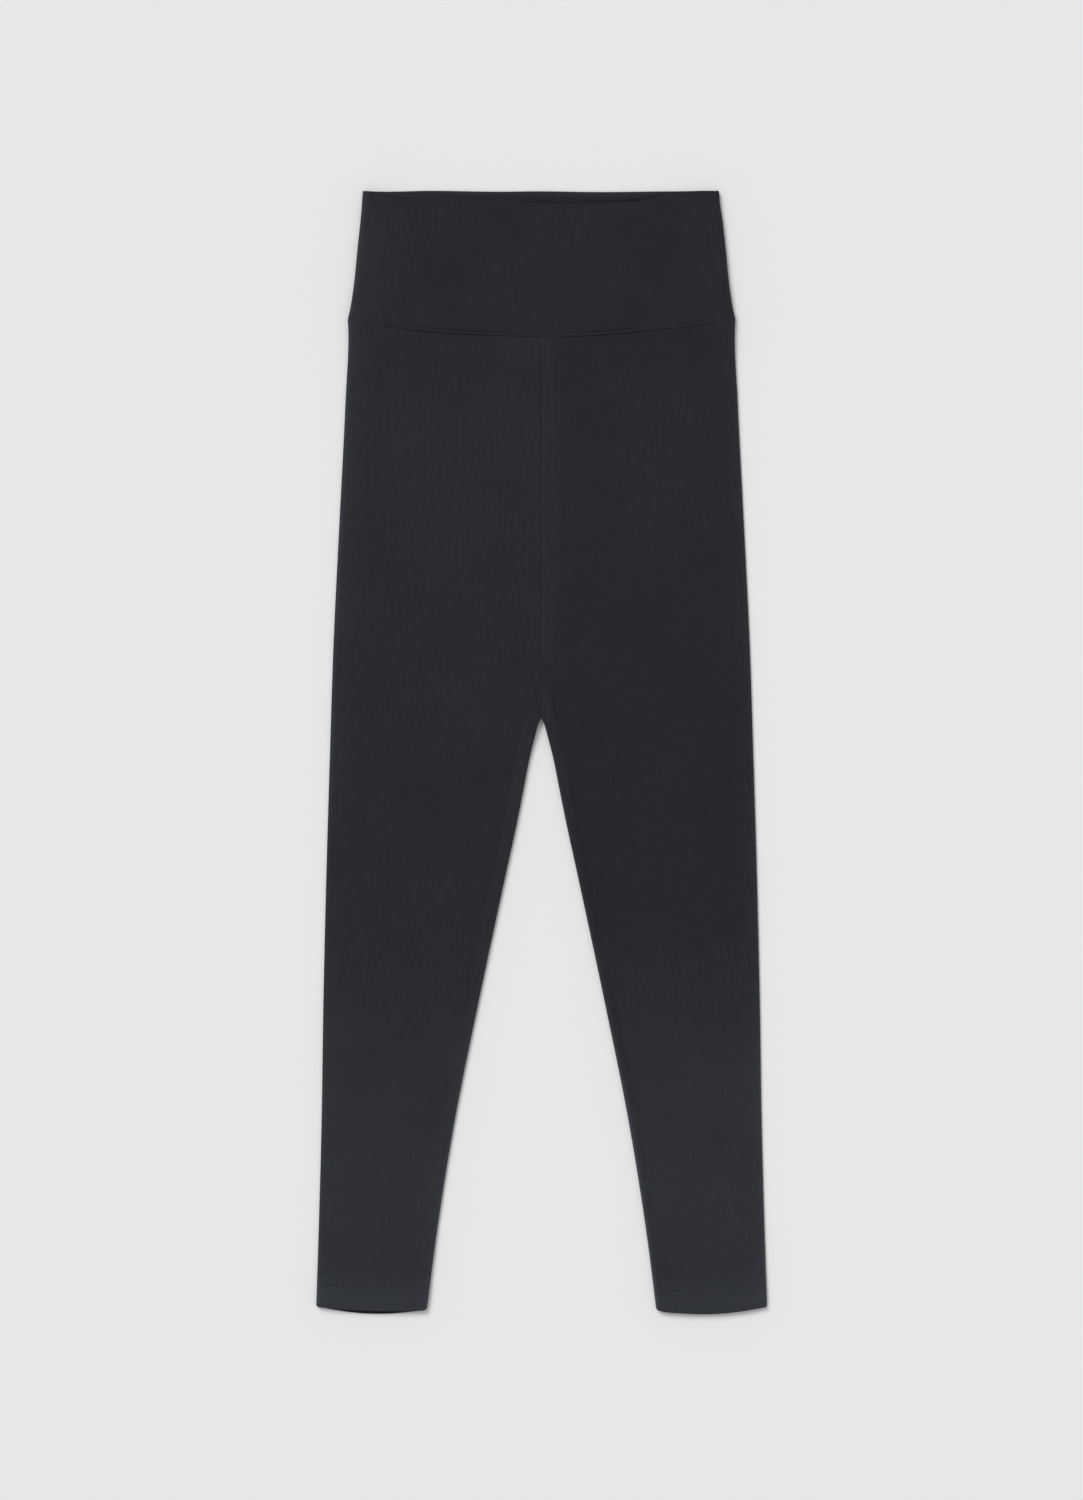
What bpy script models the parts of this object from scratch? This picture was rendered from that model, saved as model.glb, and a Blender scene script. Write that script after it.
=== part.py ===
"""High-waist leggings laid flat on their back: a doubled waistband in two pieces and two legs.

The garment lies in the XY plane. +Y points to the waist, +X to the right as seen from above and
+Z away from the surface that it lies on. The origin is the centre of the underside.

Every piece is a wall of cloth, lofted through sections across the garment. A point of a section
has a face value: 1 on the upper panel, 0 on the lower panel, and between them round a folded edge.
"Along" is the distance from the waist's top edge down the garment. Sizes are in millimetres, and
turn into metres where a mesh is made.
"""

import math
from collections import namedtuple

import bpy
import numpy as np

METRES = 0.001

# Overall length, and the thickness of one ply, of the doubled waistband and of the turned-up hem.
LENGTH = 920.0
CLOTH = 1.2
BAND_CLOTH = 2.2
HEM_CLOTH = 1.6

# Pieces stop this far apart where they are sewn together.
SEAM_GAP = 0.3
HALF_GAP = SEAM_GAP / 2.0

# How deep a folded edge is, from its outermost point to the flat panel. The inner fold of each
# leg grows from nothing at the fork to its full depth over a short run.
FOLD_DEPTH = 4.0
INNER_FOLD_DEPTH = 3.2
INNER_FOLD_RUN = 28.0
LEAST_FOLD_DEPTH = 0.2

# The waistband's folded edges and the legs' inner ones stand a little higher than the panels
# beside them. The legs' outer edges are pressed flatter.
BAND_RISE = 0.55
INNER_RISE = 0.3
OUTER_FALL = 0.55
OUTER_FALL_RUN = 50.0
EDGE_WIDTH = 8.0

# The ends of the waist seam, and how far below it the legs' rows still follow its curve.
SEAM_AT_SIDE = 106.6
SEAM_FADE = 70.0

# A narrow welt with a groove above it closes the front waistband's lower edge. It is broken where
# the centre seam meets it. Both edges at the waist seam are pressed down.
WELT_WIDTH = 2.5
WELT_RISE = 0.45
WELT_SLOPE = 0.6
WELT_GROOVE = 0.25
WELT_GROOVE_WIDTH = 3.0
WELT_BREAK = (-3.0, 3.0, 15.0, 19.0)
EDGE_DROP = 0.45
EDGE_DROP_WIDTH = 1.0

# The legs part at the fork. The centre seam's allowance is pressed under the right leg and ends
# at the crotch, where each inseam starts.
FORK_ALONG = 432.0
CROTCH_ALONG = 386.0
ALLOWANCE_WIDTH = 12.0
ALLOWANCE_RISE = 0.35
ALLOWANCE_FADE = 8.0
CENTRE_VALLEY = 0.3
CENTRE_VALLEY_WIDTH = 1.3
INSEAM_VALLEY = 0.2
INSEAM_VALLEY_WIDTH = 1.2
INSEAM_STRIP_RISE = 0.3
STRIP_SLOPE = 2.0
DEEPEST_VALLEY = 0.6

# The turned-up hem is two plies deep. Its lower edge is bowed and has rounded corners, and the
# front of it is lifted a little above the back.
HEM_DEPTH = 24.0
HEM_STEP = 2.5
HEM_FADE = 70.0
HEM_CORNER = 2.4
Hem = namedtuple("Hem", "at_inner at_outer bow lift")
HEM_LEFT = Hem(917.0, 914.6, 4.2, 2.5)
HEM_RIGHT = Hem(917.3, 914.9, 4.4, 0.7)

OuterEdge = namedtuple("OuterEdge", "along half_width")
OUTER_EDGE = (
    OuterEdge(0.0, 146.4),
    OuterEdge(16.0, 147.5),
    OuterEdge(48.0, 150.8),
    OuterEdge(81.0, 154.2),
    OuterEdge(97.5, 156.8),
    OuterEdge(105.7, 158.6),
    OuterEdge(113.0, 158.3),
    OuterEdge(171.0, 160.5),
    OuterEdge(270.0, 165.5),
    OuterEdge(368.0, 170.3),
    OuterEdge(466.0, 173.5),
    OuterEdge(564.0, 176.4),
    OuterEdge(663.0, 178.7),
    OuterEdge(761.0, 180.2),
    OuterEdge(859.0, 182.8),
    OuterEdge(920.0, 184.8),
)

# The waist seam and the top edges of the two waistband pieces, from left to right.
Edge = namedtuple("Edge", "x along")
WAIST_SEAM = (
    Edge(-154.6, 106.6),
    Edge(-131.0, 110.4),
    Edge(-111.4, 113.0),
    Edge(-91.7, 115.0),
    Edge(-62.3, 117.1),
    Edge(-32.8, 118.4),
    Edge(0.0, 119.1),
    Edge(11.0, 119.4),
    Edge(36.0, 118.5),
    Edge(65.5, 116.3),
    Edge(95.0, 113.6),
    Edge(124.5, 110.5),
    Edge(144.2, 108.2),
    Edge(154.6, 106.6),
)
BACK_TOP = (
    Edge(-147.0, 0.0),
    Edge(-141.0, 0.4),
    Edge(-88.0, 0.1),
    Edge(-34.0, 0.8),
    Edge(0.0, 0.5),
    Edge(47.0, 1.1),
    Edge(96.0, 0.6),
    Edge(121.0, 0.35),
    Edge(134.0, 0.0),
    Edge(147.0, 0.2),
)
FRONT_TOP = (
    Edge(-147.0, 0.6),
    Edge(-135.0, 1.4),
    Edge(-124.0, 3.0),
    Edge(-92.0, 4.6),
    Edge(-76.0, 5.8),
    Edge(-36.0, 9.4),
    Edge(-21.0, 10.1),
    Edge(62.0, 10.2),
    Edge(80.0, 9.0),
    Edge(92.0, 6.4),
    Edge(104.0, 3.4),
    Edge(118.0, 1.6),
    Edge(134.0, 0.9),
    Edge(147.0, 0.8),
)

# Half the gap between the legs, and how far each inseam lies inside its leg's inner edge.
InnerEdge = namedtuple("InnerEdge", "along half_gap inseam_left inseam_right")
INNER_EDGE = (
    InnerEdge(0.0, 0.15, 8.0, 12.0),
    InnerEdge(386.0, 0.15, 8.0, 12.0),
    InnerEdge(400.0, 0.15, 8.0, 7.0),
    InnerEdge(432.0, 0.15, 10.5, 11.2),
    InnerEdge(433.4, 0.75, 11.0, 11.2),
    InnerEdge(435.8, 1.9, 12.0, 11.2),
    InnerEdge(438.3, 2.85, 13.0, 11.2),
    InnerEdge(443.2, 4.1, 14.5, 11.1),
    InnerEdge(457.9, 8.0, 15.0, 10.9),
    InnerEdge(467.8, 10.3, 14.4, 10.7),
    InnerEdge(490.0, 14.6, 15.2, 9.6),
    InnerEdge(515.0, 19.6, 14.8, 9.2),
    InnerEdge(564.0, 30.2, 12.9, 8.4),
    InnerEdge(663.0, 51.3, 10.0, 8.2),
    InnerEdge(761.0, 71.0, 9.5, 8.2),
    InnerEdge(859.0, 86.6, 8.0, 6.2),
    InnerEdge(920.0, 94.3, 7.0, 5.5),
)

# Height of the upper panels above the surface that the garment lies on.
Height = namedtuple("Height", "along height")
HEIGHTS = (
    Height(0.0, 5.0),
    Height(118.0, 5.0),
    Height(150.0, 4.1),
    Height(210.0, 3.5),
    Height(430.0, 3.4),
    Height(700.0, 3.4),
    Height(850.0, 3.5),
    Height(892.0, 4.1),
    Height(920.0, 4.3),
)

# Soft ridges and hollows of the upper panels, each along a straight line.
SoftFold = namedtuple("SoftFold", "x_start along_start x_end along_end width height")
SOFT_FOLDS = (
    SoftFold(-38.0, 150.0, -44.0, 500.0, 15.0, 0.50),
    SoftFold(-98.0, 240.0, -92.0, 430.0, 13.0, -0.35),
    SoftFold(-140.0, 130.0, -146.0, 380.0, 16.0, 0.35),
    SoftFold(34.0, 240.0, 38.0, 400.0, 12.0, -0.30),
    SoftFold(92.0, 150.0, 88.0, 330.0, 20.0, 0.40),
    SoftFold(126.0, 200.0, 130.0, 400.0, 12.0, -0.35),
    SoftFold(-60.0, 560.0, -150.0, 690.0, 20.0, 0.35),
    SoftFold(-170.0, 610.0, -95.0, 650.0, 16.0, -0.35),
    SoftFold(60.0, 590.0, 165.0, 610.0, 16.0, -0.35),
    SoftFold(70.0, 640.0, 160.0, 680.0, 18.0, 0.35),
    SoftFold(-120.0, 8.0, 60.0, 60.0, 26.0, -0.25),
    SoftFold(-135.0, 40.0, -150.0, 96.0, 14.0, 0.30),
    SoftFold(-112.0, 899.0, -91.0, 883.0, 5.0, -0.40),
)
SOFT_FOLD_TAPER = 0.8

# How the meshes are divided. Fractions run from one end of a stretch to the other.
FOLD_STEPS = 5
BAND_FOLD_STEPS = 4
STRIP_FRACTIONS = (0.0, 0.35, 0.75, 1.0)
SHOULDER_WIDTH = 1.5
LEAST_STRIP = 2.0
PANEL_FRACTIONS = (0.09, 0.19, 0.30, 0.42, 0.54, 0.66, 0.77, 0.88, 0.96, 1.0)
LOWER_FRACTIONS = (1.0, 0.86, 0.71, 0.56, 0.41, 0.26, 0.12, 0.05, 0.0)
LEG_ROW_SPACING = 32.0
ROWS_BELOW_SEAM = (0.0, 1.2, 4.0, 12.0, 34.0)
ROWS_BELOW_FORK = (0.0, 1.5, 5.0, 12.0, 20.0, INNER_FOLD_RUN)
BAND_ROW_FRACTIONS = (0.08, 0.25, 0.45, 0.65, 0.82)
ROUNDING_ANGLES = (20.0, 52.0, 90.0)

CHARCOAL = (0.0222, 0.0252, 0.0296, 1.0)
CHARCOAL_DOUBLED = (0.0202, 0.0232, 0.0276, 1.0)
CLOTH_ROUGHNESS = 0.85
SMOOTH_ANGLE = 50.0

# A column of a leg's section: which stretch it is in, its place there, the fraction of the leg's
# width that it stands at, its face value, and how far a folded edge leans out at it.
Column = namedtuple("Column", "stretch place across face lean")
Welt = namedtuple("Welt", "offset height")


def clear_scene():
    """Remove every object that the scene starts with."""
    for item in list(bpy.data.objects):
        bpy.data.objects.remove(item, do_unlink=True)


def cloth_material(name, colour):
    """Make a matt cloth material of one colour."""
    material = bpy.data.materials.new(name)
    material.use_nodes = True
    shader = material.node_tree.nodes["Principled BSDF"]
    shader.inputs["Base Color"].default_value = colour
    shader.inputs["Roughness"].default_value = CLOTH_ROUGHNESS
    shader.inputs["Metallic"].default_value = 0.0
    return material


def field(rows, name):
    """Return one named column of a table as an array."""
    return np.array([getattr(row, name) for row in rows])


def curve_through(table, name, places, key="along"):
    """Read a smooth cubic curve through a table's column at the given places in its key column."""
    stations = field(table, key)
    values = field(table, name)
    slopes = np.gradient(values, stations)
    index = np.clip(np.searchsorted(stations, places, side="right") - 1, 0, len(stations) - 2)
    span = stations[index + 1] - stations[index]
    step = np.clip((places - stations[index]) / span, 0.0, 1.0)
    start_value = (1.0 + 2.0 * step) * (1.0 - step) ** 2
    end_value = step ** 2 * (3.0 - 2.0 * step)
    start_slope = step * (1.0 - step) ** 2 * span
    end_slope = step ** 2 * (step - 1.0) * span
    return (
        start_value * values[index]
        + end_value * values[index + 1]
        + start_slope * slopes[index]
        + end_slope * slopes[index + 1]
    )


def smooth_step(low, high, value):
    """Rise smoothly from 0 at low to 1 at high."""
    step = np.clip((value - low) / (high - low), 0.0, 1.0)
    return step * step * (3.0 - 2.0 * step)


def bell(distance, width):
    """A bell curve: 1 at no distance, falling away over about one width."""
    return np.exp(-((distance / width) ** 2))


def arch(across):
    """A parabola that is 0 at the fractions 0 and 1 and reaches 1 between them."""
    return 4.0 * across * (1.0 - across)


def half_width_at(along):
    """Half the garment's width."""
    return curve_through(OUTER_EDGE, "half_width", along)


SEAM_PANEL_HALF = float(half_width_at(np.array([SEAM_AT_SIDE]))[0]) - FOLD_DEPTH
TOP_PANEL_HALF = OUTER_EDGE[0].half_width - FOLD_DEPTH


def edge_along(edge, x):
    """Distance along to the waist seam or to a top edge, at a distance x from the centre line."""
    return curve_through(edge, "along", x, key="x")


def hem_along(hem, across, face):
    """Distance along to a hem, across from 0 inside to 1 outside the leg."""
    bowed = (hem.bow - hem.lift * face) * arch(across)
    return hem.at_inner + (hem.at_outer - hem.at_inner) * across + bowed


def soft_folds(x, along):
    """Sum of the soft ridges and hollows at a point of the upper panels."""
    total = np.zeros(np.shape(x))
    for fold in SOFT_FOLDS:
        run_x = fold.x_end - fold.x_start
        run_along = fold.along_end - fold.along_start
        length = math.hypot(run_x, run_along)
        from_x = x - fold.x_start
        from_along = along - fold.along_start
        travel = np.clip((from_x * run_x + from_along * run_along) / length ** 2, 0.0, 1.0)
        offset = (from_x * run_along - from_along * run_x) / length
        total += fold.height * arch(travel) ** SOFT_FOLD_TAPER * bell(offset, fold.width)
    return total


def near_edge(distance):
    """How near a folded edge a point is, from 0 to 1."""
    return bell(distance, EDGE_WIDTH)


def outer_rise(along):
    """Extra height of a leg's outer edge: the waistband's at the seam, and pressed flat below."""
    pressed = smooth_step(SEAM_AT_SIDE, SEAM_AT_SIDE + OUTER_FALL_RUN, along)
    return BAND_RISE - (BAND_RISE + OUTER_FALL) * pressed


def fold_angles(steps):
    """Angles inside a folded edge, from the upper panel round to the lower one."""
    return np.linspace(math.pi / 2.0, -math.pi / 2.0, steps + 1)[1:-1]


def rounded_rim(thickness):
    """Offsets of the rows from a rounded rim, and how full the wall is at each."""
    angles = np.radians(ROUNDING_ANGLES)
    return thickness / 2.0 * (1.0 - np.cos(angles)), np.sin(angles)


def round_over(outer, inner, fullness):
    """Draw the two skins of a wall together where its rim is rounded."""
    middle = 0.5 * (outer + inner)
    share = fullness[:, None, None]
    return middle + (outer - middle) * share, middle + (inner - middle) * share


def strip_between(first, second):
    """Quads between two rows of vertex numbers."""
    return [(first[k], first[k + 1], second[k + 1], second[k]) for k in range(len(first) - 1)]


def wall_faces(rows, columns, first_ring, closing):
    """List a wall's faces: its outer and inner skins, and the rims between them.

    Rows before first_ring are open and lack the last closing columns. Rows from there on are
    closed rings.
    """
    outer = np.arange(rows * columns).reshape(rows, columns)
    inner = outer + rows * columns
    open_columns = columns - closing
    open_order = list(range(open_columns))
    ring_order = list(range(columns)) + [0]
    faces = []
    for row in range(rows - 1):
        order = ring_order if row >= first_ring else open_order
        faces += strip_between(outer[row, order], outer[row + 1, order])
        faces += strip_between(inner[row + 1, order], inner[row, order])
    free_rows = list(range(min(first_ring, rows - 1) + 1))
    last = open_columns - 1
    faces += strip_between(outer[free_rows, 0], inner[free_rows, 0])
    faces += strip_between(inner[free_rows, last], outer[free_rows, last])
    faces += strip_between(inner[0, open_order], outer[0, open_order])
    end_order = open_order
    if first_ring < rows:
        closing_order = ring_order[last:]
        faces += strip_between(inner[first_ring, closing_order], outer[first_ring, closing_order])
        end_order = ring_order
    faces += strip_between(outer[rows - 1, end_order], inner[rows - 1, end_order])
    return faces


def make_wall(name, skins, first_ring, closing, turned, material, collection):
    """Build one piece of cloth from the grids of points on its outer and inner skins."""
    rows, columns = skins[0].shape[:2]
    faces = np.array(wall_faces(rows, columns, first_ring, closing))
    if turned:
        faces = faces[:, ::-1]
    used, renumbered = np.unique(faces, return_inverse=True)
    points = np.concatenate([skin.reshape(-1, 3) for skin in skins]) * METRES
    mesh = bpy.data.meshes.new(name)
    mesh.from_pydata(points[used].tolist(), [], renumbered.reshape(faces.shape).tolist())
    mesh.materials.append(material)
    mesh.shade_smooth()
    mesh.set_sharp_from_angle(angle=math.radians(SMOOTH_ANGLE))
    piece = bpy.data.objects.new(name, mesh)
    collection.objects.link(piece)


def seam_columns(inseam):
    """Distances from the centre line of a leg's upper columns at the waist seam."""
    shoulder = HALF_GAP + inseam + SHOULDER_WIDTH
    strip = HALF_GAP + inseam * np.array(STRIP_FRACTIONS)
    panel = shoulder + (SEAM_PANEL_HALF - shoulder) * np.array(PANEL_FRACTIONS)
    return np.concatenate([strip, [shoulder], panel])


def leg_columns(inseam):
    """Lay out a leg's section: upper panel, outer fold, lower panel, inner fold."""
    upper = seam_columns(inseam) / SEAM_PANEL_HALF
    stretches = ["strip"] * len(STRIP_FRACTIONS) + ["shoulder"] + ["panel"] * len(PANEL_FRACTIONS)
    places = list(STRIP_FRACTIONS) + [0.0] + list(PANEL_FRACTIONS)
    columns = [Column(*stretch, 1.0, 0.0) for stretch in zip(stretches, places, upper)]
    for angle in fold_angles(FOLD_STEPS):
        columns.append(Column("outer", 0.0, 1.0, 0.5 + 0.5 * math.sin(angle), math.cos(angle)))
    for fraction in LOWER_FRACTIONS:
        columns.append(Column("lower", fraction, fraction, 0.0, 0.0))
    for angle in fold_angles(FOLD_STEPS)[::-1]:
        columns.append(Column("inner", 0.0, 0.0, 0.5 + 0.5 * math.sin(angle), math.cos(angle)))
    return columns


def leg_rows():
    """Nominal distances along of a leg's rows, and how full the wall is at each."""
    seam = SEAM_AT_SIDE + HALF_GAP + np.array(ROWS_BELOW_SEAM)
    last = FORK_ALONG - LEG_ROW_SPACING / 2.0
    to_fork = np.arange(seam[-1] + LEG_ROW_SPACING, last, LEG_ROW_SPACING)
    fork = FORK_ALONG + np.array(ROWS_BELOW_FORK)
    hem_top = LENGTH - HEM_DEPTH
    count = round((hem_top - HEM_STEP - fork[-1]) / LEG_ROW_SPACING)
    to_hem = np.linspace(fork[-1], hem_top - HEM_STEP, count + 1)[1:]
    hem = np.array([hem_top, hem_top + HEM_STEP, LENGTH - HEM_DEPTH / 3.0, LENGTH - HEM_CORNER])
    offsets, fullness = rounded_rim(HEM_CLOTH)
    along = np.concatenate([seam, to_fork, fork, to_hem, hem, LENGTH - offsets[::-1]])
    full = np.ones(len(along))
    full[-len(fullness):] = fullness[::-1]
    return along, full


def leg_along(nominal, columns, side, hem):
    """Bend the rows to the waist seam at the top and to the bowed hem at the bottom."""
    across = field(columns, "across")[None, :]
    face = field(columns, "face")[None, :]
    rows = nominal[:, None]
    seam_shift = edge_along(WAIST_SEAM, side * across * SEAM_PANEL_HALF) - SEAM_AT_SIDE
    near_seam = 1.0 - smooth_step(rows[0], rows[0] + SEAM_FADE, rows)
    hem_shift = hem_along(hem, across, face) - LENGTH
    near_hem = smooth_step(LENGTH - HEM_FADE, LENGTH - HEM_DEPTH, rows)
    return rows + seam_shift * near_seam + hem_shift * near_hem


def leg_seams(x, along, from_inner, inseam, side):
    """Height that the seams add to a leg's upper panel."""
    above_fork = 1.0 - smooth_step(FORK_ALONG, FORK_ALONG + INNER_FOLD_RUN, along)
    below_crotch = smooth_step(CROTCH_ALONG, FORK_ALONG, along)
    height = -CENTRE_VALLEY * bell(from_inner, CENTRE_VALLEY_WIDTH) * above_fork
    height -= INSEAM_VALLEY * bell(from_inner - inseam, INSEAM_VALLEY_WIDTH) * below_crotch
    strip = 1.0 - smooth_step(inseam - STRIP_SLOPE, inseam, from_inner)
    height += INSEAM_STRIP_RISE * strip * below_crotch
    if side > 0:
        inside = 1.0 - smooth_step(ALLOWANCE_WIDTH - STRIP_SLOPE, ALLOWANCE_WIDTH, from_inner)
        above_crotch = 1.0 - smooth_step(CROTCH_ALONG - ALLOWANCE_FADE, CROTCH_ALONG, along)
        height += ALLOWANCE_RISE * inside * above_crotch
    height -= EDGE_DROP * bell(along - edge_along(WAIST_SEAM, side * x), EDGE_DROP_WIDTH)
    return np.maximum(height, -DEEPEST_VALLEY)


def leg_skin(columns, along, wall, side, inseam, corner):
    """Points of one skin of a leg: the outer one with no wall, the inner one a wall inside it.

    Its folds draw in by corner, which rounds the hem's corners.
    """
    is_inner = np.max(wall) > 0.0
    outer_edge = half_width_at(along)
    inner_edge = np.where(along > FORK_ALONG, curve_through(INNER_EDGE, "half_gap", along), HALF_GAP)
    inner_edge = np.maximum(inner_edge, HALF_GAP)
    folded = smooth_step(FORK_ALONG, FORK_ALONG + INNER_FOLD_RUN, along)
    depth_out = np.maximum(FOLD_DEPTH - wall - corner, 0.0)
    depth_in = INNER_FOLD_DEPTH * folded
    panel_start = inner_edge + depth_in
    if is_inner:
        closed = along > FORK_ALONG - CLOTH
        depth_in = np.where(closed, np.maximum(depth_in - wall, LEAST_FOLD_DEPTH), 0.0)
        panel_start = inner_edge + np.where(closed, wall, 0.0) + depth_in
    depth_in = np.maximum(depth_in - corner, 0.0)
    panel_end = outer_edge - FOLD_DEPTH
    strip_end = np.maximum(inner_edge + inseam, panel_start + LEAST_STRIP)
    shoulder = strip_end + SHOULDER_WIDTH

    x = np.zeros(along.shape)
    for k, column in enumerate(columns):
        starts = {"strip": panel_start, "shoulder": shoulder, "panel": shoulder, "outer": panel_end,
                  "lower": panel_start, "inner": panel_start}
        ends = {"strip": strip_end, "shoulder": shoulder, "panel": panel_end, "outer": panel_end,
                "lower": panel_end, "inner": panel_start}
        start = starts[column.stretch][:, k]
        end = ends[column.stretch][:, k]
        x[:, k] = start + (end - start) * column.place
        if column.stretch == "outer":
            x[:, k] += depth_out[:, k] * column.lean
        if column.stretch == "inner":
            x[:, k] -= depth_in[:, k] * column.lean

    top = curve_through(HEIGHTS, "height", along) + soft_folds(side * x, along)
    top += outer_rise(along) * near_edge(panel_end - x)
    top += INNER_RISE * near_edge(x - panel_start) * folded
    if not is_inner:
        top += leg_seams(x, along, x - inner_edge, inseam, side)
    z = wall + field(columns, "face") * (top - 2.0 * wall)
    return np.stack([side * x, LENGTH / 2.0 - along, z], axis=-1)


def make_leg(name, side, material, collection):
    """Make a leg, open to the other leg above the fork. Side is -1 on the left, 1 on the right."""
    inseam_name, hem = ("inseam_left", HEM_LEFT) if side < 0 else ("inseam_right", HEM_RIGHT)
    columns = leg_columns(getattr(INNER_EDGE[0], inseam_name))
    nominal, fullness = leg_rows()
    first_ring = int(np.argmin(np.abs(nominal - FORK_ALONG)))
    along = leg_along(nominal, columns, side, hem)
    inseam = curve_through(INNER_EDGE, inseam_name, along)
    hem_top = LENGTH - HEM_DEPTH
    doubled = smooth_step(hem_top - HEM_STEP, hem_top, nominal)[:, None]
    wall = CLOTH + (HEM_CLOTH - CLOTH) * doubled + np.zeros(along.shape)
    from_corner = np.clip((LENGTH - nominal) / HEM_CORNER, 0.0, 1.0)
    corner = HEM_CORNER * (1.0 - np.sqrt(1.0 - (1.0 - from_corner) ** 2))[:, None]
    outer = leg_skin(columns, along, np.zeros(along.shape), side, inseam, corner)
    inner = leg_skin(columns, along, wall, side, inseam, corner)
    skins = round_over(outer, inner, fullness)
    make_wall(name, skins, first_ring, FOLD_STEPS - 1, side > 0, material, collection)


def band_rows(is_front):
    """Rows of a waistband piece from its top edge down to the waist seam.

    Returns for each row its fraction of the way down, its offset from that place, how full the
    wall is, and the welt's height there.
    """
    offsets, fullness = rounded_rim(BAND_CLOTH)
    count = len(offsets) + len(BAND_ROW_FRACTIONS)
    welt_top = -HALF_GAP - WELT_WIDTH
    welt = (
        Welt(welt_top - WELT_GROOVE_WIDTH, 0.0),
        Welt(welt_top - WELT_SLOPE, -WELT_GROOVE),
        Welt(welt_top + WELT_SLOPE, WELT_RISE),
        Welt(-HALF_GAP - WELT_SLOPE, WELT_RISE),
        Welt(-HALF_GAP, -EDGE_DROP),
    )
    fraction = np.array([0.0] * len(offsets) + list(BAND_ROW_FRACTIONS) + [1.0] * len(welt))
    offset = np.concatenate([offsets, np.zeros(len(BAND_ROW_FRACTIONS)), field(welt, "offset")])
    full = np.concatenate([fullness, np.ones(len(fraction) - len(fullness))])
    height = np.concatenate([np.zeros(count), field(welt, "height") if is_front else np.zeros(len(welt))])
    return fraction, offset, full, height


def band_columns():
    """Columns of a waistband piece: across from -1 to 1, and the angle round the folded edges."""
    angles = np.linspace(0.0, math.pi / 2.0, BAND_FOLD_STEPS + 1)[:-1]
    left = seam_columns(INNER_EDGE[0].inseam_left)[1:] / SEAM_PANEL_HALF
    right = seam_columns(INNER_EDGE[0].inseam_right)[1:] / SEAM_PANEL_HALF
    middle = np.concatenate([-left[::-1], [0.0], right])
    sides = np.ones(len(angles))
    across = np.concatenate([-sides, middle, sides])
    angle = np.concatenate([angles, np.full(len(middle), math.pi / 2.0), angles[::-1]])
    return across, angle


def make_band(name, is_front, material, collection):
    """Make the front or the back waistband, which meet along the sides."""
    across, angle = band_columns()
    fraction, offset, fullness, welt = band_rows(is_front)
    top = edge_along(FRONT_TOP if is_front else BACK_TOP, across * TOP_PANEL_HALF)
    bottom = edge_along(WAIST_SEAM, across * SEAM_PANEL_HALF)
    along = top + (bottom - top) * fraction[:, None] + offset[:, None]
    panel_half = half_width_at(along) - FOLD_DEPTH
    middle_height = curve_through(HEIGHTS, "height", along) / 2.0
    whole = smooth_step(*WELT_BREAK[2:], across * panel_half)
    whole += 1.0 - smooth_step(*WELT_BREAK[:2], across * panel_half)
    relief = np.where(welt[:, None] > 0.0, welt[:, None] * whole, welt[:, None])

    skins = []
    for wall in (0.0, BAND_CLOTH):
        x = across * panel_half + np.sign(across) * (FOLD_DEPTH - wall) * np.cos(angle)
        if is_front:
            edge = middle_height + HALF_GAP
            flat = 2.0 * middle_height - wall + soft_folds(x, along)
            flat += BAND_RISE * near_edge(panel_half - np.abs(x))
            flat = flat + relief if wall == 0.0 else flat
        else:
            edge = middle_height - HALF_GAP
            flat = np.full(along.shape, wall)
        z = edge + (flat - edge) * np.sin(angle)
        skins.append(np.stack([x, LENGTH / 2.0 - along, z], axis=-1))
    skins = round_over(*skins, fullness)
    make_wall(name, skins, len(fraction), 0, is_front, material, collection)


def main():
    """Build the leggings."""
    clear_scene()
    collection = bpy.data.collections.new("leggings")
    bpy.context.scene.collection.children.link(collection)
    doubled_cloth = cloth_material("charcoal_knit_doubled", CHARCOAL_DOUBLED)
    cloth = cloth_material("charcoal_knit", CHARCOAL)
    make_band("waistband_back", False, doubled_cloth, collection)
    make_band("waistband_front", True, doubled_cloth, collection)
    make_leg("leg_left", -1, cloth, collection)
    make_leg("leg_right", 1, cloth, collection)


main()
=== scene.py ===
"""Dress the flat leggings: brushed charcoal knit, sewn seams, twin-needle hems and a soft studio.

Everything is in the model's frame: +Y points to the waist, +X to the right as seen from above, and
+Z up from the surface that the garment lies on. "Along" is the distance down the garment from the
waist's top edge, and x the distance from its centre line. A point of the cloth has a face value: 1
on the upper panel, 0 on the lower panel, and between them round a folded edge. Sizes are in
millimetres, and turn into metres where a mesh or a material is made.
"""

import logging
import math
from collections.abc import Callable
from dataclasses import dataclass
from enum import Enum

import bpy
import numpy as np
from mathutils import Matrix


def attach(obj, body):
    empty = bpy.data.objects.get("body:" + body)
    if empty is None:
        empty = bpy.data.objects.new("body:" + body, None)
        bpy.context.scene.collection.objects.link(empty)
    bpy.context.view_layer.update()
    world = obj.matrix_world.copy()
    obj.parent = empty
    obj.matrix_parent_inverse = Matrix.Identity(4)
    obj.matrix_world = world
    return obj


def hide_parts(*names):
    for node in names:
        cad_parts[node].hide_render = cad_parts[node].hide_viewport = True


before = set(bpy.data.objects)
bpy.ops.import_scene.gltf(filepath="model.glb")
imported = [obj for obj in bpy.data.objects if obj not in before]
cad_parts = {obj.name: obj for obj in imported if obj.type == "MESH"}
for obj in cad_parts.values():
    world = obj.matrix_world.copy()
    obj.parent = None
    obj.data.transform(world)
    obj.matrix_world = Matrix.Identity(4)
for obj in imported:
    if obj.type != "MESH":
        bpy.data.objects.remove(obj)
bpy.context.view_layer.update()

Array = np.ndarray
Colour = tuple[float, float, float, float]
Pair = tuple[float, float]
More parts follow.
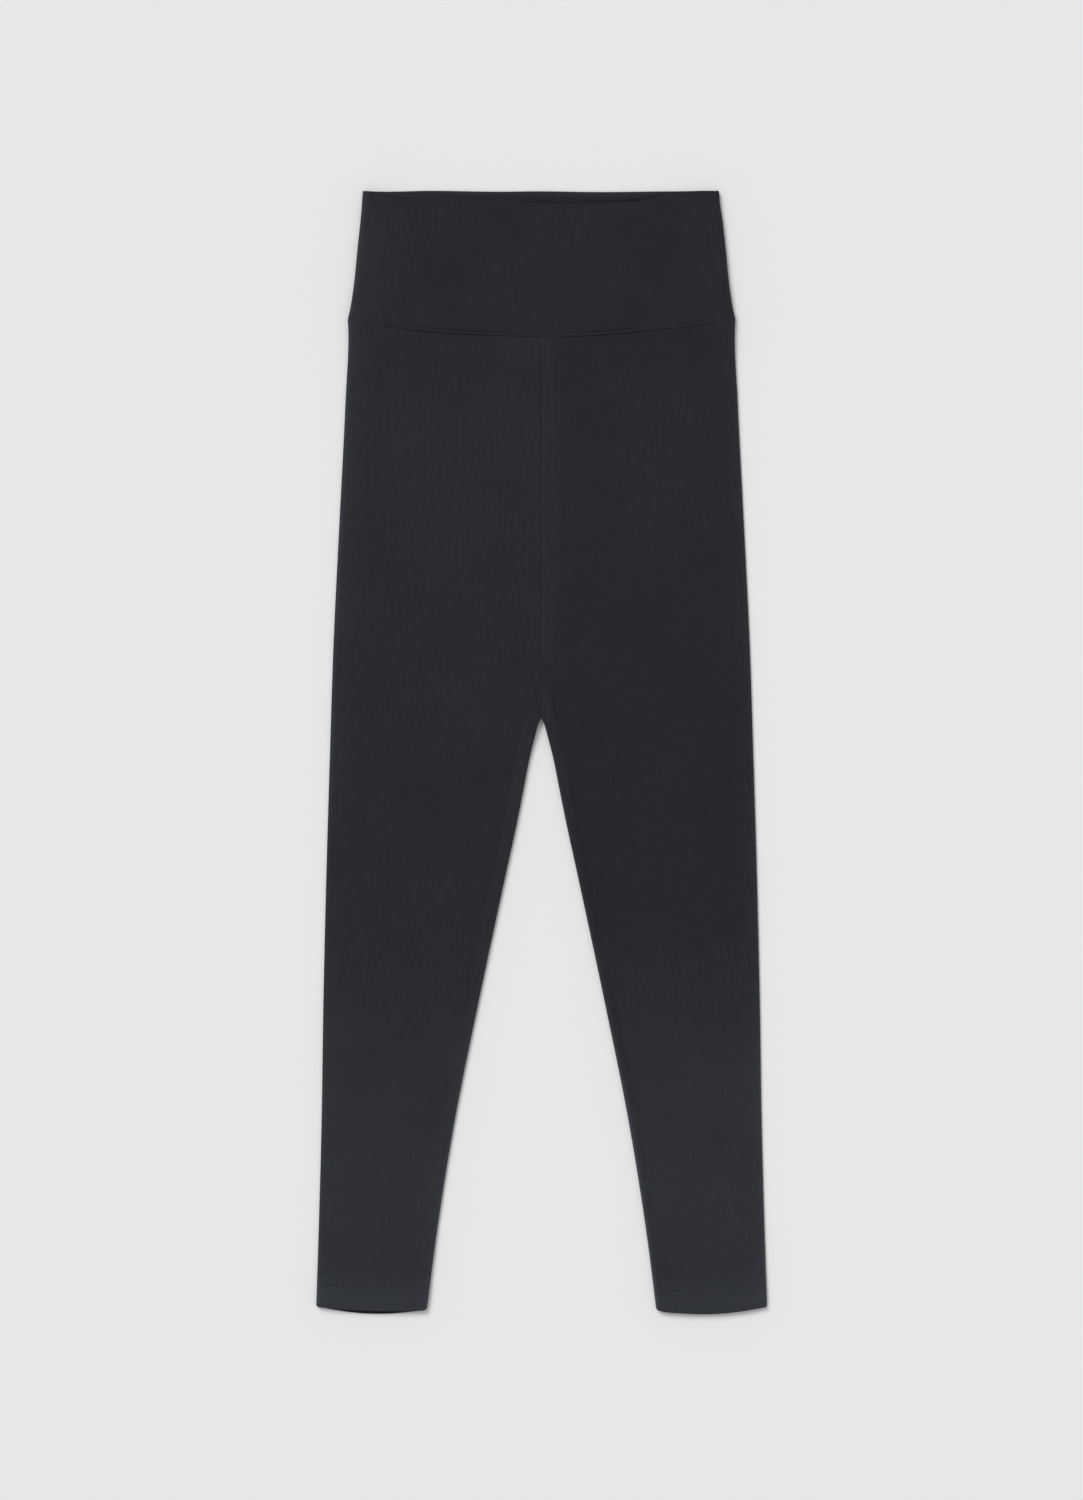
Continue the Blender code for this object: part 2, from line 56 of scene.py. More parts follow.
Arrays = tuple[Array, Array]
Material, Mesh, Object = bpy.types.Material, bpy.types.Mesh, bpy.types.Object
Node, Socket, Tree = bpy.types.Node, bpy.types.NodeSocket, bpy.types.NodeTree

METRES = 0.001
UV_NAME = "knit"
TONE_NAME = "tone"
SMOOTH_ANGLE = 50.0
QUARTER = math.pi / 2.0
CREASE_FADE = 0.8
RIM_START = 0.06
RIM_ROWS = 7
log = logging.getLogger("leggings")


class Side(Enum):
    """Which leg, as seen from above with the waist away from the viewer."""

    LEFT = -1
    RIGHT = 1


class Layer(Enum):
    """Which waistband piece: the upper one, or the one that the garment lies on."""

    FRONT = "front"
    BACK = "back"


def smooth_step(low: Array | float, high: Array | float, value: Array) -> Array:
    """Rise smoothly from 0 at low to 1 at high: s²(3 - 2s), with s the clipped fraction."""
    step = np.clip((value - low) / (high - low), 0.0, 1.0)
    return step * step * (3.0 - 2.0 * step)


def bell(distance: Array, width: float) -> Array:
    """A bell curve, exp(-(distance / width)²)."""
    return np.exp(-((distance / width) ** 2))


def fall(low: Array | float, high: Array | float, value: Array) -> Array:
    """Fall smoothly from 1 at low to 0 at high."""
    return 1.0 - smooth_step(low, high, value)


def arch(across: Array) -> Array:
    """A parabola through 0, 1 and 0 at the fractions 0, ½ and 1: 4a(1 - a)."""
    return 4.0 * across * (1.0 - across)


def roll(distance: Array, reach: float, depth: float) -> Array:
    """How far a rounded edge falls: depth · (1 - √(1 - s²)), with s = 1 - distance / reach."""
    inside = 1.0 - np.clip(distance / reach, 0.0, 1.0)
    return depth * (1.0 - np.sqrt(1.0 - inside**2))


def crowd(count: int) -> Array:
    """Fractions from 0 to 1 that crowd at both ends: (1 - cos πt) / 2."""
    return 0.5 - 0.5 * np.cos(np.linspace(0.0, math.pi, count))


def fold_angles(steps: int) -> Array:
    """Angles inside a folded edge, from the upper panel round to the lower one."""
    return np.linspace(QUARTER, -QUARTER, steps + 1)[1:-1]


def quads(grid: Array) -> Array:
    """Corner values of each cell of a grid of numbers or points, going round the cell."""
    corners = [grid[:-1, :-1], grid[:-1, 1:], grid[1:, 1:], grid[1:, :-1]]
    return np.stack(corners, axis=2).reshape(-1, 4, *grid.shape[2:])


@dataclass(frozen=True)
class Curve:
    """A smooth curve through points of (place, value)."""

    points: tuple[Pair, ...]

    def at(self, place: Array | float) -> Array:
        """Read the curve.

        Between two points it is the cubic that has their values, and at each of them the slope
        that its neighbours give. Beyond the ends it stays level.

        Args:
            place: where to read it.

        Returns:
            The value at each place.
        """
        stations, values = np.array(self.points, float).T
        slopes = np.gradient(values, stations)
        index = np.clip(np.searchsorted(stations, place, side="right") - 1, 0, len(stations) - 2)
        span = stations[index + 1] - stations[index]
        step = np.clip((place - stations[index]) / span, 0.0, 1.0)
        return (
            (1.0 + 2.0 * step) * (1.0 - step) ** 2 * values[index]
            + step**2 * (3.0 - 2.0 * step) * values[index + 1]
            + step * (1.0 - step) ** 2 * span * slopes[index]
            + step**2 * (step - 1.0) * span * slopes[index + 1]
        )


def curve(*points: Pair) -> Curve:
    """Draw a curve through points of (place, value)."""
    return Curve(points)


@dataclass(frozen=True)
class Crease:
    """A soft ridge or trough along a straight line, fading at both ends.

    Its relief is height · arch(travel)^fade · bell(offset, width), and its tone likewise; the
    tone is painted light and shade along the crease.
    """

    x_start: float
    along_start: float
    x_end: float
    along_end: float
    width: float
    height: float
    tone: float = 0.0

    def shape(self, x: Array, along: Array) -> Array:
        """How strong the crease is at each point, from 0 to 1."""
        run_x = self.x_end - self.x_start
        run_along = self.along_end - self.along_start
        length = math.hypot(run_x, run_along)
        from_x = x - self.x_start
        from_along = along - self.along_start
        travel = np.clip((from_x * run_x + from_along * run_along) / length**2, 0.0, 1.0)
        offset = (from_x * run_along - from_along * run_x) / length
        return arch(travel) ** CREASE_FADE * bell(offset, self.width)


def relief_of(creases: tuple[Crease, ...], x: Array, along: Array) -> Array:
    """Height of several creases together."""
    return sum(crease.height * crease.shape(x, along) for crease in creases)


def tone_of(creases: tuple[Crease, ...], x: Array, along: Array) -> Array:
    """Painted light and shade of several creases together."""
    return sum(crease.tone * crease.shape(x, along) for crease in creases)


@dataclass(frozen=True)
class PaintedRimLight:
    """Painted highlight of the nap's sheen on a folded edge: a bright line, a faint glow beside it.

    Its tone is strength · (bright · bell(d, width) + faint · bell(d, reach)), at the distance d
    from the edge.
    """

    bright: float
    width: float
    faint: float
    reach: float
    strength: Curve = curve((0, 1), (920, 1))

    def tone(self, distance: Array, along: Array) -> Array:
        """Painted highlight that the rim adds at a distance from the edge."""
        glow = self.bright * bell(distance, self.width) + self.faint * bell(distance, self.reach)
        return self.strength.at(along) * glow


@dataclass(frozen=True)
class Outline:
    """The flat garment's outline, heights and soft creases, which its pieces share."""

    length: float = 920.0
    fold_depth: float = 4.0
    half_gap: float = 0.02
    seam_at_side: float = 106.6
    seam_roll: Pair = (1.1, 0.44)
    edge_rise: float = 0.55
    inner_rise: float = 0.3
    outer_fall: float = 0.55
    edge_rise_width: float = 8.0
    edge_run: float = 50.0
    seam_dark: Pair = (0.03, 0.85)
    slip: float = 0.25
    slip_end: Pair = (430.0, 560.0)
    slip_width: float = 22.0
    kink: float = 2.1
    kink_end: Pair = (127.0, 141.0)
    corner_slip: float = 1.1
    corner_end: Pair = (6.0, 28.0)
    corner_start: Pair = (90.0, 146.0)
    half_width: Curve = curve(
        (0, 146.4), (16, 147.5), (48, 150.8), (81, 154.2), (97.5, 156.8), (105.7, 158.6),
        (113, 158.3), (171, 160.5), (270, 165.5), (368, 170.3), (466, 173.5), (564, 176.4),
        (663, 178.7), (761, 180.2), (859, 182.8), (920, 184.8),
    )
    waist_seam: Curve = curve(
        (-154.6, 106.6), (-131, 111.1), (-111.4, 113.9), (-91.7, 115.9), (-62.3, 118),
        (-32.8, 119.3), (0, 120), (11, 120.3), (36, 119.4), (65.5, 117.2), (95, 114.5),
        (124.5, 111.3), (144.2, 108.8), (154.6, 106.7),
    )
    seam_strength: Curve = curve(
        (-155, 0.1), (-138, 0.1), (-128, 0.4), (-112, 0.95), (-76, 0.85), (-57, 1.2), (-25, 0.9),
        (20, 0.8), (78, 1.1), (90, 0.65), (99, 0.95), (110, 0.4), (119, 0.4), (128, 0.85),
        (139, 0.8), (148, 0.35), (155, 0.15),
    )
    welt_strength: Curve = curve(
        (-155, 0), (-137, 0), (-129, 0.6), (-106, 0.8), (-96, 1.4), (-86, 1), (-72, 1.3),
        (-38, 1.2), (-22, 0.6), (0, 0.5), (22, 0.9), (76, 1.1), (88, 0.4), (98, 0.8), (108, 0.3),
        (120, 0.45), (132, 0.2), (155, 0),
    )
    back_top: Curve = curve(
        (-147, 0), (-141, 0.4), (-88, 0.1), (-34, 0.8), (0, 0.5), (47, 1.1), (96, 0.6), (121, 0.35),
        (134, 0), (147, 0.2),
    )
    front_top: Curve = curve(
        (-147, 0.6), (-135, 1.4), (-124, 3), (-92, 4.6), (-76, 5.8), (-36, 9.4), (-21, 10.1),
        (62, 10.2), (80, 9), (92, 6.4), (104, 3.4), (118, 1.6), (134, 0.9), (147, 0.8),
    )
    height: Curve = curve(
        (0, 5), (118, 5), (150, 4.1), (210, 3.5), (430, 3.4), (700, 3.4), (850, 3.5), (892, 4.1),
        (920, 4.3),
    )
    creases: tuple[Crease, ...] = (
        Crease(-38, 150, -44, 500, 15, 0.5),
        Crease(-98, 240, -92, 430, 13, -0.35),
        Crease(-140, 130, -146, 380, 16, 0.35),
        Crease(34, 240, 38, 400, 12, -0.3),
        Crease(92, 150, 88, 330, 20, 0.4),
        Crease(126, 200, 130, 400, 12, -0.35),
        Crease(-60, 560, -150, 690, 20, 0.35),
        Crease(-170, 610, -95, 650, 16, -0.35),
        Crease(60, 590, 165, 610, 16, -0.35),
        Crease(70, 640, 160, 680, 18, 0.35),
        Crease(-120, 8, 60, 60, 26, -0.25),
        Crease(-140, -40, -150, 150, 16, 0.3, 0.12),
        Crease(-112, 899, -91, 883, 5, -0.4),
        Crease(-112, 10, -118, 105, 24, 0, 0.05),
        Crease(0, 416, 0, 472, 9, 1.6),
    )
    hollows_below: tuple[Crease, ...] = (
        Crease(46, 170, 38, 420, 13, 0.4),
        Crease(-84, 190, -98, 380, 16, 0.32),
        Crease(116, 260, 108, 450, 12, 0.3),
        Crease(-64, 570, -140, 660, 14, 0.3),
        Crease(72, 550, 150, 630, 16, 0.34),
        Crease(-130, 700, -92, 830, 11, 0.22),
        Crease(-96, 34, 52, 66, 18, 0.26),
    )

    @property
    def seam_panel_half(self) -> float:
        """Half the width of the flat panel at the waist seam's ends."""
        return float(self.half_width.at(self.seam_at_side)) - self.fold_depth

    def relief(self, x: Array, along: Array) -> Array:
        """Height that the creases add to the upper panel."""
        return relief_of(self.creases, x, along)

    def drawn_up(self, x: Array, along: Array) -> Array:
        """How far the lower panel is drawn up from the surface in its own hollows."""
        return relief_of(self.hollows_below, x, along)

    def painted_light_and_shade(self, x: Array, along: Array) -> Array:
        """Painted light and shade that the creases add to the upper panel."""
        return tone_of(self.creases, x, along)

    def pressed_seam(self, x: Array, distance: Array) -> Array:
        """How far an edge is pressed down at a distance from the waist seam."""
        return roll(distance, *self.seam_roll) * self.seam_strength.at(x)

    def seam_tone(self, x: Array, distance: Array) -> Array:
        """Painted shade in the waist seam: how much darker the cloth is at a distance from it."""
        depth, width = self.seam_dark
        return depth * bell(distance, width) * self.seam_strength.at(x)

    def near_edge(self, distance: Array) -> Array:
        """How near a folded edge a point is, from 0 to 1."""
        return bell(distance, self.edge_rise_width)

    def edge_height(self, along: Array) -> Array:
        """How far the cloth stands up beside the outer folds: a spring at the waist, flat below."""
        change = smooth_step(self.seam_at_side, self.seam_at_side + self.edge_run, along)
        return self.edge_rise - (self.edge_rise + self.outer_fall) * change

    def drift(self, x: Array, along: Array) -> Array:
        """How far the centre seam and one corner have slipped sideways as the garment was laid."""
        slipped = self.slip * fall(*self.slip_end, along)
        kink = self.kink * fall(*self.kink_end, along)
        corner = self.corner_slip * fall(*self.corner_end, along)
        beside_corner = smooth_step(*self.corner_start, x)
        return -(slipped + kink) * bell(x, self.slip_width) - corner * beside_corner


@dataclass(frozen=True)
class Wall:
    """One piece of cloth: a closed wall between an outer and an inner skin.

    Points are a grid of skins by rows by columns, and tones have one number for each of them.
    Rows before first_ring are open and lack the last closing columns. Rows from there on are
    closed rings.
    """

    name: str
    points: Array
    tones: Array
    first_ring: int
    closing: int
    turned: bool

    def knit_places(self) -> Array:
        """Places on the cloth: (distance round the section, distance along), with one more column.

        The distance round is the sum of the steps from the first column on, counted from the
        piece's middle line, so that the wales run straight down it.
        """
        outer = self.points[0]
        ring = np.concatenate([outer, outer[:, :1]], axis=1)
        steps = np.linalg.norm(np.diff(ring, axis=1), axis=2)
        around = np.pad(np.cumsum(steps, axis=1), ((0, 0), (1, 0)))
        reach = outer[..., 0]
        middle = 0.5 * (reach.min(axis=1) + reach.max(axis=1))
        start = np.abs(reach[:, 0] - middle)
        return np.stack([around - start[:, None], -ring[..., 1]], axis=-1)

    def patches(self) -> list[Arrays]:
        """Patches of the wall: its two skins and the rims between them.

        Returns:
            For each patch a grid of vertex numbers and a grid of places on the cloth.
        """
        shape = self.points.shape[:3]
        outer, inner = np.arange(math.prod(shape)).reshape(shape)
        rows, columns = outer.shape
        places = self.knit_places()
        opened = np.arange(columns - self.closing)
        ring = np.append(np.arange(columns), 0)
        wide = np.arange(columns + 1)
        first = self.first_ring
        free = slice(0, min(first, rows - 1) + 1)
        last = opened[-1]
        patches = [
            (outer[free][:, opened], places[free][:, opened]),
            (inner[free][::-1][:, opened], places[free][::-1][:, opened]),
            self.rim(outer[free, 0], inner[free, 0], places[free, 0]),
            self.rim(inner[free, last], outer[free, last], places[free, last]),
            self.rim(inner[0, opened], outer[0, opened], places[0, opened]),
        ]
        if first >= rows:
            patches.append(self.rim(outer[-1, opened], inner[-1, opened], places[-1, opened]))
            return patches
        closing = ring[last:]
        return patches + [
            (outer[first:, ring], places[first:, wide]),
            (inner[first:, ring][::-1], places[first:, wide][::-1]),
            self.rim(inner[first, closing], outer[first, closing], places[first, wide[last:]]),
            self.rim(outer[-1, ring], inner[-1, ring], places[-1, wide]),
        ]

    @staticmethod
    def rim(first: Array, second: Array, places: Array) -> Arrays:
        """A patch of one row of faces between two rows of vertices."""
        return np.stack([first, second]), np.stack([places, places])

    def build(self, material: Material) -> Object:
        """Make the wall's mesh and object.

        Args:
            material: the cloth's material.

        Returns:
            The new object.
        """
        patches = self.patches()
        faces = np.concatenate([quads(numbers) for numbers, _ in patches])
        places = np.concatenate([quads(grid) for _, grid in patches])
        if self.turned:
            faces, places = faces[:, ::-1], places[:, ::-1]
        used, renumbered = np.unique(faces, return_inverse=True)
        faces = renumbered.reshape(faces.shape).tolist()
        mesh = make_mesh(self.name, self.points.reshape(-1, 3)[used], faces, places * METRES)
        tone = mesh.attributes.new(TONE_NAME, "FLOAT", "POINT")
        tone.data.foreach_set("value", self.tones.ravel()[used].astype(np.float32))
        mesh.set_sharp_from_angle(angle=math.radians(SMOOTH_ANGLE))
        return place(self.name, mesh, material)


def make_mesh(name: str, points: Array, faces: list[list[int]], places: Array) -> Mesh:
    """Make a smooth mesh that knows its places on the cloth or round the thread.

    Args:
        name: the mesh's name.
        points: its points, in millimetres.
        faces: the numbers of each face's points.
        places: the place of each corner of each face, as it goes into the material.

    Returns:
        The new mesh.
    """
    mesh = bpy.data.meshes.new(name)
    mesh.from_pydata((points * METRES).tolist(), [], faces)
    layer = mesh.uv_layers.new(name=UV_NAME)
    layer.data.foreach_set("uv", places.astype(np.float32).ravel())
    mesh.shade_smooth()
    return mesh


def place(name: str, mesh: Mesh, material: Material) -> Object:
    """Put a mesh into the scene as an object at the origin and report it.

    Args:
        name: the piece's name.
        mesh: its mesh.
        material: its material.

    Returns:
        The new object.
    """
    mesh.materials.append(material)
    piece = bpy.data.objects.new(name, mesh)
    bpy.context.scene.collection.objects.link(piece)
    log.info("%s: %d triangles", name, len(mesh.loops) - 2 * len(mesh.polygons))
    return piece


def rounded_rim(thickness: float) -> Arrays:
    """Rows of a rim that is rounded to half the cloth's thickness.

    A row at the angle a from the edge is offset by t/2 · (1 - cos a), and its wall is sin a full.
    """
    angles = np.linspace(RIM_START, QUARTER, RIM_ROWS)
    return thickness / 2.0 * (1.0 - np.cos(angles)), np.sin(angles)


def round_over(skins: Array, fullness: Array) -> Array:
    """Draw two skins together, row by row: middle ± fullness · half the thickness."""
    middle = 0.5 * (skins[0] + skins[1])
    return middle + (skins - middle) * fullness[:, None, None]


def facing(path: Array, turn: float) -> Array:
    """Unit directions out of the cloth along a path across it: the path's run, turned upright."""
    run = np.gradient(path, axis=0)
    outward = turn * np.stack([-run[:, 2], np.zeros(len(run)), run[:, 0]], axis=1)
    return outward / np.linalg.norm(outward, axis=1, keepdims=True)


@dataclass(frozen=True)
class Stitches:
    """Rows of straight stitches, each a short thread that dips into the cloth at both ends."""

    length: float = 2.4
    gap: float = 0.6
    thread: float = 0.3
    rings: int = 6
    sides: int = 6
    rise: float = 0.5
    sink: float = 2.0
    thinning: float = 0.94

    def row(self, path: Array, outward: Array) -> Arrays:
        """Lay stitches along a path.

        A point of a stitch, at the fraction t of its length and the angle a round it, is
        centre(t) + r(t) · (cos a · outward + sin a · sideways), with
        r(t) = r · √(1 - thinning |2t-1|³). The centre is at r · (rise - sink |2t-1|³).

        Args:
            path: points that the row follows, on the cloth.
            outward: the cloth's outward direction at each of them.

        Returns:
            Points, as stitches by rings by sides by three, and the distance along of each ring.
        """
        travelled = np.append(0.0, np.cumsum(np.linalg.norm(np.diff(path, axis=0), axis=1)))
        count = int(travelled[-1] // (self.length + self.gap))
        pitch = travelled[-1] / count
        starts = (np.arange(count) + 0.5) * pitch - self.length / 2.0
        step = np.linspace(0.0, 1.0, self.rings)
        where = starts[:, None] + step * self.length
        centre = np.stack([np.interp(where, travelled, path[:, k]) for k in range(3)], axis=-1)
        out = np.stack([np.interp(where, travelled, outward[:, k]) for k in range(3)], axis=-1)
        out /= np.linalg.norm(out, axis=-1, keepdims=True)
        run = centre[:, -1:] - centre[:, :1]
        sideways = np.cross(run, out)
        sideways /= np.linalg.norm(sideways, axis=-1, keepdims=True)
        radius = self.thread / 2.0
        from_middle = np.abs(2.0 * step - 1.0) ** 3
        centre = centre + out * (radius * (self.rise - self.sink * from_middle))[:, None]
        thin = (radius * np.sqrt(1.0 - self.thinning * from_middle))[:, None, None]
        turn = np.linspace(0.0, math.tau, self.sides, endpoint=False)[:, None]
        ring = np.cos(turn) * out[:, :, None, :] + np.sin(turn) * sideways[:, :, None, :]
        return centre[:, :, None, :] + thin * ring, where

    def build(self, name: str, rows: list[Arrays], material: Material) -> Object:
        """Make one mesh of several rows of stitches.

        Args:
            name: the piece's name.
            rows: for each row its path and the outward directions along it.
            material: the thread's material.

        Returns:
            The new object.
        """
        laid = [self.row(path, outward) for path, outward in rows]
        points = np.concatenate([stitches for stitches, _ in laid])
        numbers = np.arange(self.rings * self.sides).reshape(self.rings, self.sides)
        first = numbers.size * np.arange(len(points))[:, None, None]
        ring = np.append(np.arange(self.sides), 0)
        sides = (first + quads(numbers[:, ring])).reshape(-1, 4)
        caps = (first + np.stack([numbers[0], numbers[-1, ::-1]])).reshape(-1, self.sides)
        along = np.concatenate([np.repeat(where[..., None], self.sides, 2) for _, where in laid])
        around = np.broadcast_to(np.arange(self.sides) / self.sides, along.shape)
        places = np.stack([around, along * METRES], axis=-1).reshape(-1, 2)
        faces = sides.tolist() + caps.tolist()
        mesh = make_mesh(name, points.reshape(-1, 3), faces, places[np.append(sides, caps)])
        return place(name, mesh, material)


@dataclass(frozen=True)
class LegColumns:
    """The columns of a leg's section, going round it in five stretches.

    These are the strip from the leg's inner edge to the inseam, the panel from there to the outer
    fold, that fold, the lower panel and the inner fold. A column has its stretch's number, its
    place, which is a fraction of the stretch and 0 on the folds, and its angle, which is a quarter
    turn on the upper panel and minus that on the lower one.
    """

    stretch: Array
    place: Array
    angle: Array

    @property
    def face(self) -> Array:
        """Face value of each column: ½ + ½ sin a."""
        return 0.5 + 0.5 * np.sin(self.angle)

    @property
    def closing(self) -> int:
        """How many columns the inner fold has."""
        return int(np.count_nonzero(self.stretch == self.stretch[-1]))

    def pick(self, *stretches: Array | float) -> Array:
        """For each column, the values that its own stretch is given."""
        return np.choose(self.stretch, stretches)


@dataclass(frozen=True)
class Leg:
    """One leg, front and back in one piece, with its seams and its turned-up hem."""

    side: Side
    outline: Outline
    inseam: Curve
    inseam_depth: Curve
    inseam_tone: Curve
    inseam_reach: Pair
    strip_rise: Curve
    tone: Curve
    rims: tuple[PaintedRimLight, PaintedRimLight]
    hem_at_inner: float
    hem_at_outer: float
    hem_bow: float
    hem_lift: float
    creases: tuple[Crease, ...]
    allowance_width: float = 12.0
    allowance_rise: float = 0.0
    allowance_tone: float = 0.0
    centre_roll: Pair = (1.0, 0.22)
    centre_strength: Curve = curve(
        (130, 1), (228, 1), (242, 0.3), (280, 0.3), (294, 1), (334, 1), (350, 0.25), (395, 0.25),
        (425, 0.8),
    )
    cloth: float = 1.2
    hem_cloth: float = 1.6
    hem_cloth_run: float = 2.5
    fork_along: float = 432.0
    crotch_along: float = 386.0
    crotch_run: float = 4.0
    inner_fold_depth: float = 3.2
    inner_fold_run: float = 28.0
    least_fold: float = 0.2
    least_strip: float = 2.0
    least_gap: float = 0.15
    gap_run: float = 3.0
    seam_fade: float = 70.0
    seam_hollow: Pair = (0.2, 2.4)
    seam_limits: Pair = (-0.95, 0.9)
    centre_hollow: Pair = (0.12, 2.6)
    centre_dark: Pair = (0.06, 1.3)
    strip_run: float = 2.0
    strip_tone: float = 0.35
    strip_tone_run: Pair = (1.6, 0.6)
    allowance_run: float = 1.6
    allowance_tone_run: float = 1.0
    hem_depth: float = 24.0
    hem_fade: float = 70.0
    hem_corner: float = 2.4
    hem_rows: Pair = (13.5, 18.5)
    hem_groove: Pair = (0.16, 0.85)
    hem_step: float = 0.35
    hem_step_at: Pair = (22.8, 25.6)
    hem_fullness: float = 0.22
    hem_fullness_at: Pair = (7.0, 4.5)
    mouth_shade: float = 0.5
    mouth_from: Pair = (900.0, 912.0)
    row_spacing: float = 4.2
    rows_below_seam: tuple[float, ...] = (0, 0.08, 0.25, 0.5, 0.85, 1.3, 2, 3.2, 5, 7.5, 10.5)
    crotch_rows: tuple[float, float, float] = (34.0, 0.0, -1.7)
    rows_below_fork: tuple[float, ...] = (0, 0.5, 1, 1.6, 2.4, 3.4, 4.6)
    fold_rows: tuple[float, float, float] = (6.0, 36.0, 2.0)
    hem_row_spacing: float = 0.7
    hem_row_margins: Pair = (6.0, 1.2)
    panel_width: float = 150.0
    columns_by_inseam: tuple[float, ...] = (0.35, 0.8, 1.4, 2.2, 3.4, 5, 7)
    columns_by_fold: tuple[float, ...] = (4, 2.2, 1, 0)
    columns_by_centre: tuple[float, ...] = (5, 3, 1.8, 1, 0.5, 0.2, 0)
    middle_columns: tuple[float, float, int] = (10.0, 6.0, 38)
    lower_columns: tuple[float, int] = (8.0, 18)
    strip_columns: int = 15
    fold_steps: tuple[int, int] = (12, 10)
    half_gap_curve: Curve = curve(
        (432, 0.15), (433.4, 0.75), (435.8, 1.9), (438.3, 2.85), (443.2, 4.1), (450.6, 6.1),
        (457.9, 8), (467.8, 10.3), (490, 14.6), (515, 19.6), (564, 30.2), (663, 51.3), (761, 71),
        (859, 86.6), (920, 94.3),
    )

    @property
    def name(self) -> str:
        """The leg's name, which is also its node's."""
        return f"leg_{self.side.name.lower()}"

    def columns(self) -> LegColumns:
        """Lay out the section, with columns crowded at its seams and folds."""
        width = self.panel_width
        by_inseam, by_fold, by_centre = (
            np.array(places) / width
            for places in (self.columns_by_inseam, self.columns_by_fold, self.columns_by_centre)
        )
        from_strip, from_fold, count = self.middle_columns
        middle = np.linspace(from_strip, width - from_fold, count) / width
        panel = np.concatenate([by_inseam, middle, 1.0 - by_fold])
        from_centre, count = self.lower_columns
        lower = np.concatenate([np.linspace(1.0, from_centre / width, count), by_centre])
        strip = crowd(self.strip_columns)
        outer, inner = (fold_angles(steps) for steps in self.fold_steps)
        places = (strip, panel, np.zeros_like(outer), lower, np.zeros_like(inner))
        upper, below = np.full(len(strip) + len(panel), QUARTER), np.full(len(lower), -QUARTER)
        return LegColumns(
            stretch=np.repeat(np.arange(len(places)), [len(part) for part in places]),
            place=np.concatenate(places),
            angle=np.concatenate([upper, outer, below, inner[::-1]]),
        )

    def across(self, columns: LegColumns) -> Array:
        """Fraction of the leg's width at which each column starts at the waist seam."""
        half = self.outline.seam_panel_half
        start = self.outline.half_gap
        end = start + float(self.inseam.at(self.outline.seam_at_side))
        place = columns.place
        strip = (start + (end - start) * place) / half
        panel = (end + (half - end) * place) / half
        return columns.pick(strip, panel, 1.0, place, 0.0)

    def upper_across(self) -> Array:
        """Fractions of the upper columns, which the waistband shares."""
        columns = self.columns()
        return self.across(columns)[columns.angle == QUARTER]

    def rows(self) -> Arrays:
        """Nominal distances along of the rows, and how full the wall is at each."""
        length = self.outline.length
        seam = self.outline.seam_at_side + self.outline.half_gap + np.array(self.rows_below_seam)
        crotch = self.fork_along - np.arange(*self.crotch_rows)
        thigh = np.arange(seam[-1] + self.row_spacing, crotch[0] - 2.0, self.row_spacing)
        fold = np.arange(*self.fold_rows)
        fork = self.fork_along + np.concatenate([self.rows_below_fork, fold])
        above, below = self.hem_row_margins
        hem = np.arange(length - self.hem_depth - above, length - below, self.hem_row_spacing)
        count = round((hem[0] - fork[-1]) / self.row_spacing)
        calf = np.linspace(fork[-1], hem[0], count + 1)[1:-1]
        offsets, fullness = rounded_rim(self.hem_cloth)
        along = np.concatenate([seam, thigh, crotch, fork, calf, hem, length - offsets[::-1]])
        full = np.ones(len(along))
        full[-len(fullness) :] = fullness[::-1]
        return along, full

    def along(self, nominal: Array, columns: LegColumns) -> Array:
        """Bend the rows to the waist seam at the top and to the bowed hem at the bottom.

        along = nominal + seam shift · (fades below the seam) + hem shift · (grows above the hem).
        """
        across = self.across(columns)[None, :]
        rows = nominal[:, None]
        outline = self.outline
        top = outline.seam_at_side + outline.half_gap
        seam_at = outline.waist_seam.at(self.side.value * across * outline.seam_panel_half)
        seam_shift = seam_at - outline.seam_at_side
        near_seam = fall(top, top + self.seam_fade, rows)
        hem = self.hem_at_inner + (self.hem_at_outer - self.hem_at_inner) * across
        hem = hem + (self.hem_bow - self.hem_lift * columns.face[None, :]) * arch(across)
        start = outline.length - self.hem_fade
        near_hem = smooth_step(start, outline.length - self.hem_depth, rows)
        return rows + seam_shift * near_seam + (hem - outline.length) * near_hem

    def folded(self, along: Array) -> Array:
        """How far the inner fold has grown below the fork, from 0 to 1."""
        return smooth_step(self.fork_along, self.fork_along + self.inner_fold_run, along)

    def inner_edge(self, along: Array) -> Array:
        """Distance from the centre line to the leg's inner edge."""
        below = np.maximum(self.half_gap_curve.at(along), self.least_gap)
        lower = smooth_step(self.fork_along - self.gap_run, self.fork_along, along)
        return self.outline.half_gap + (below - self.outline.half_gap) * lower

    def hem_relief(self, nominal: Array) -> Array:
        """Relief of the hem on the upper side: a step, two grooves, and a fuller rim below."""
        above_edge = self.outline.length - nominal
        step = self.hem_step * fall(*self.hem_step_at, above_edge)
        place, width = self.hem_fullness_at
        return step - self.grooves(nominal) + self.hem_fullness * bell(above_edge - place, width)

    def grooves(self, nominal: Array) -> Array:
        """Depth of the two grooves that the hem's stitches pull into the cloth."""
        depth, width = self.hem_groove
        above_edge = self.outline.length - nominal
        return sum(depth * bell(above_edge - row, width) for row in self.hem_rows)

    def valley(self, from_inseam: Array) -> Array:
        """The inseam's valley, from 0 to 1, with its own reach on each side."""
        inwards, outwards = self.inseam_reach
        return np.where(from_inseam < 0.0, bell(from_inseam, inwards), bell(from_inseam, outwards))

    def seam_groove(self, from_inner: Array, along: Array) -> Array:
        """Depth of the groove at the centre seam, which closes where the cloth lies smooth."""
        depth, width = self.centre_hollow
        groove = roll(from_inner, *self.centre_roll) + depth * bell(from_inner, width)
        return groove * self.centre_strength.at(along) * (1.0 - self.folded(along))

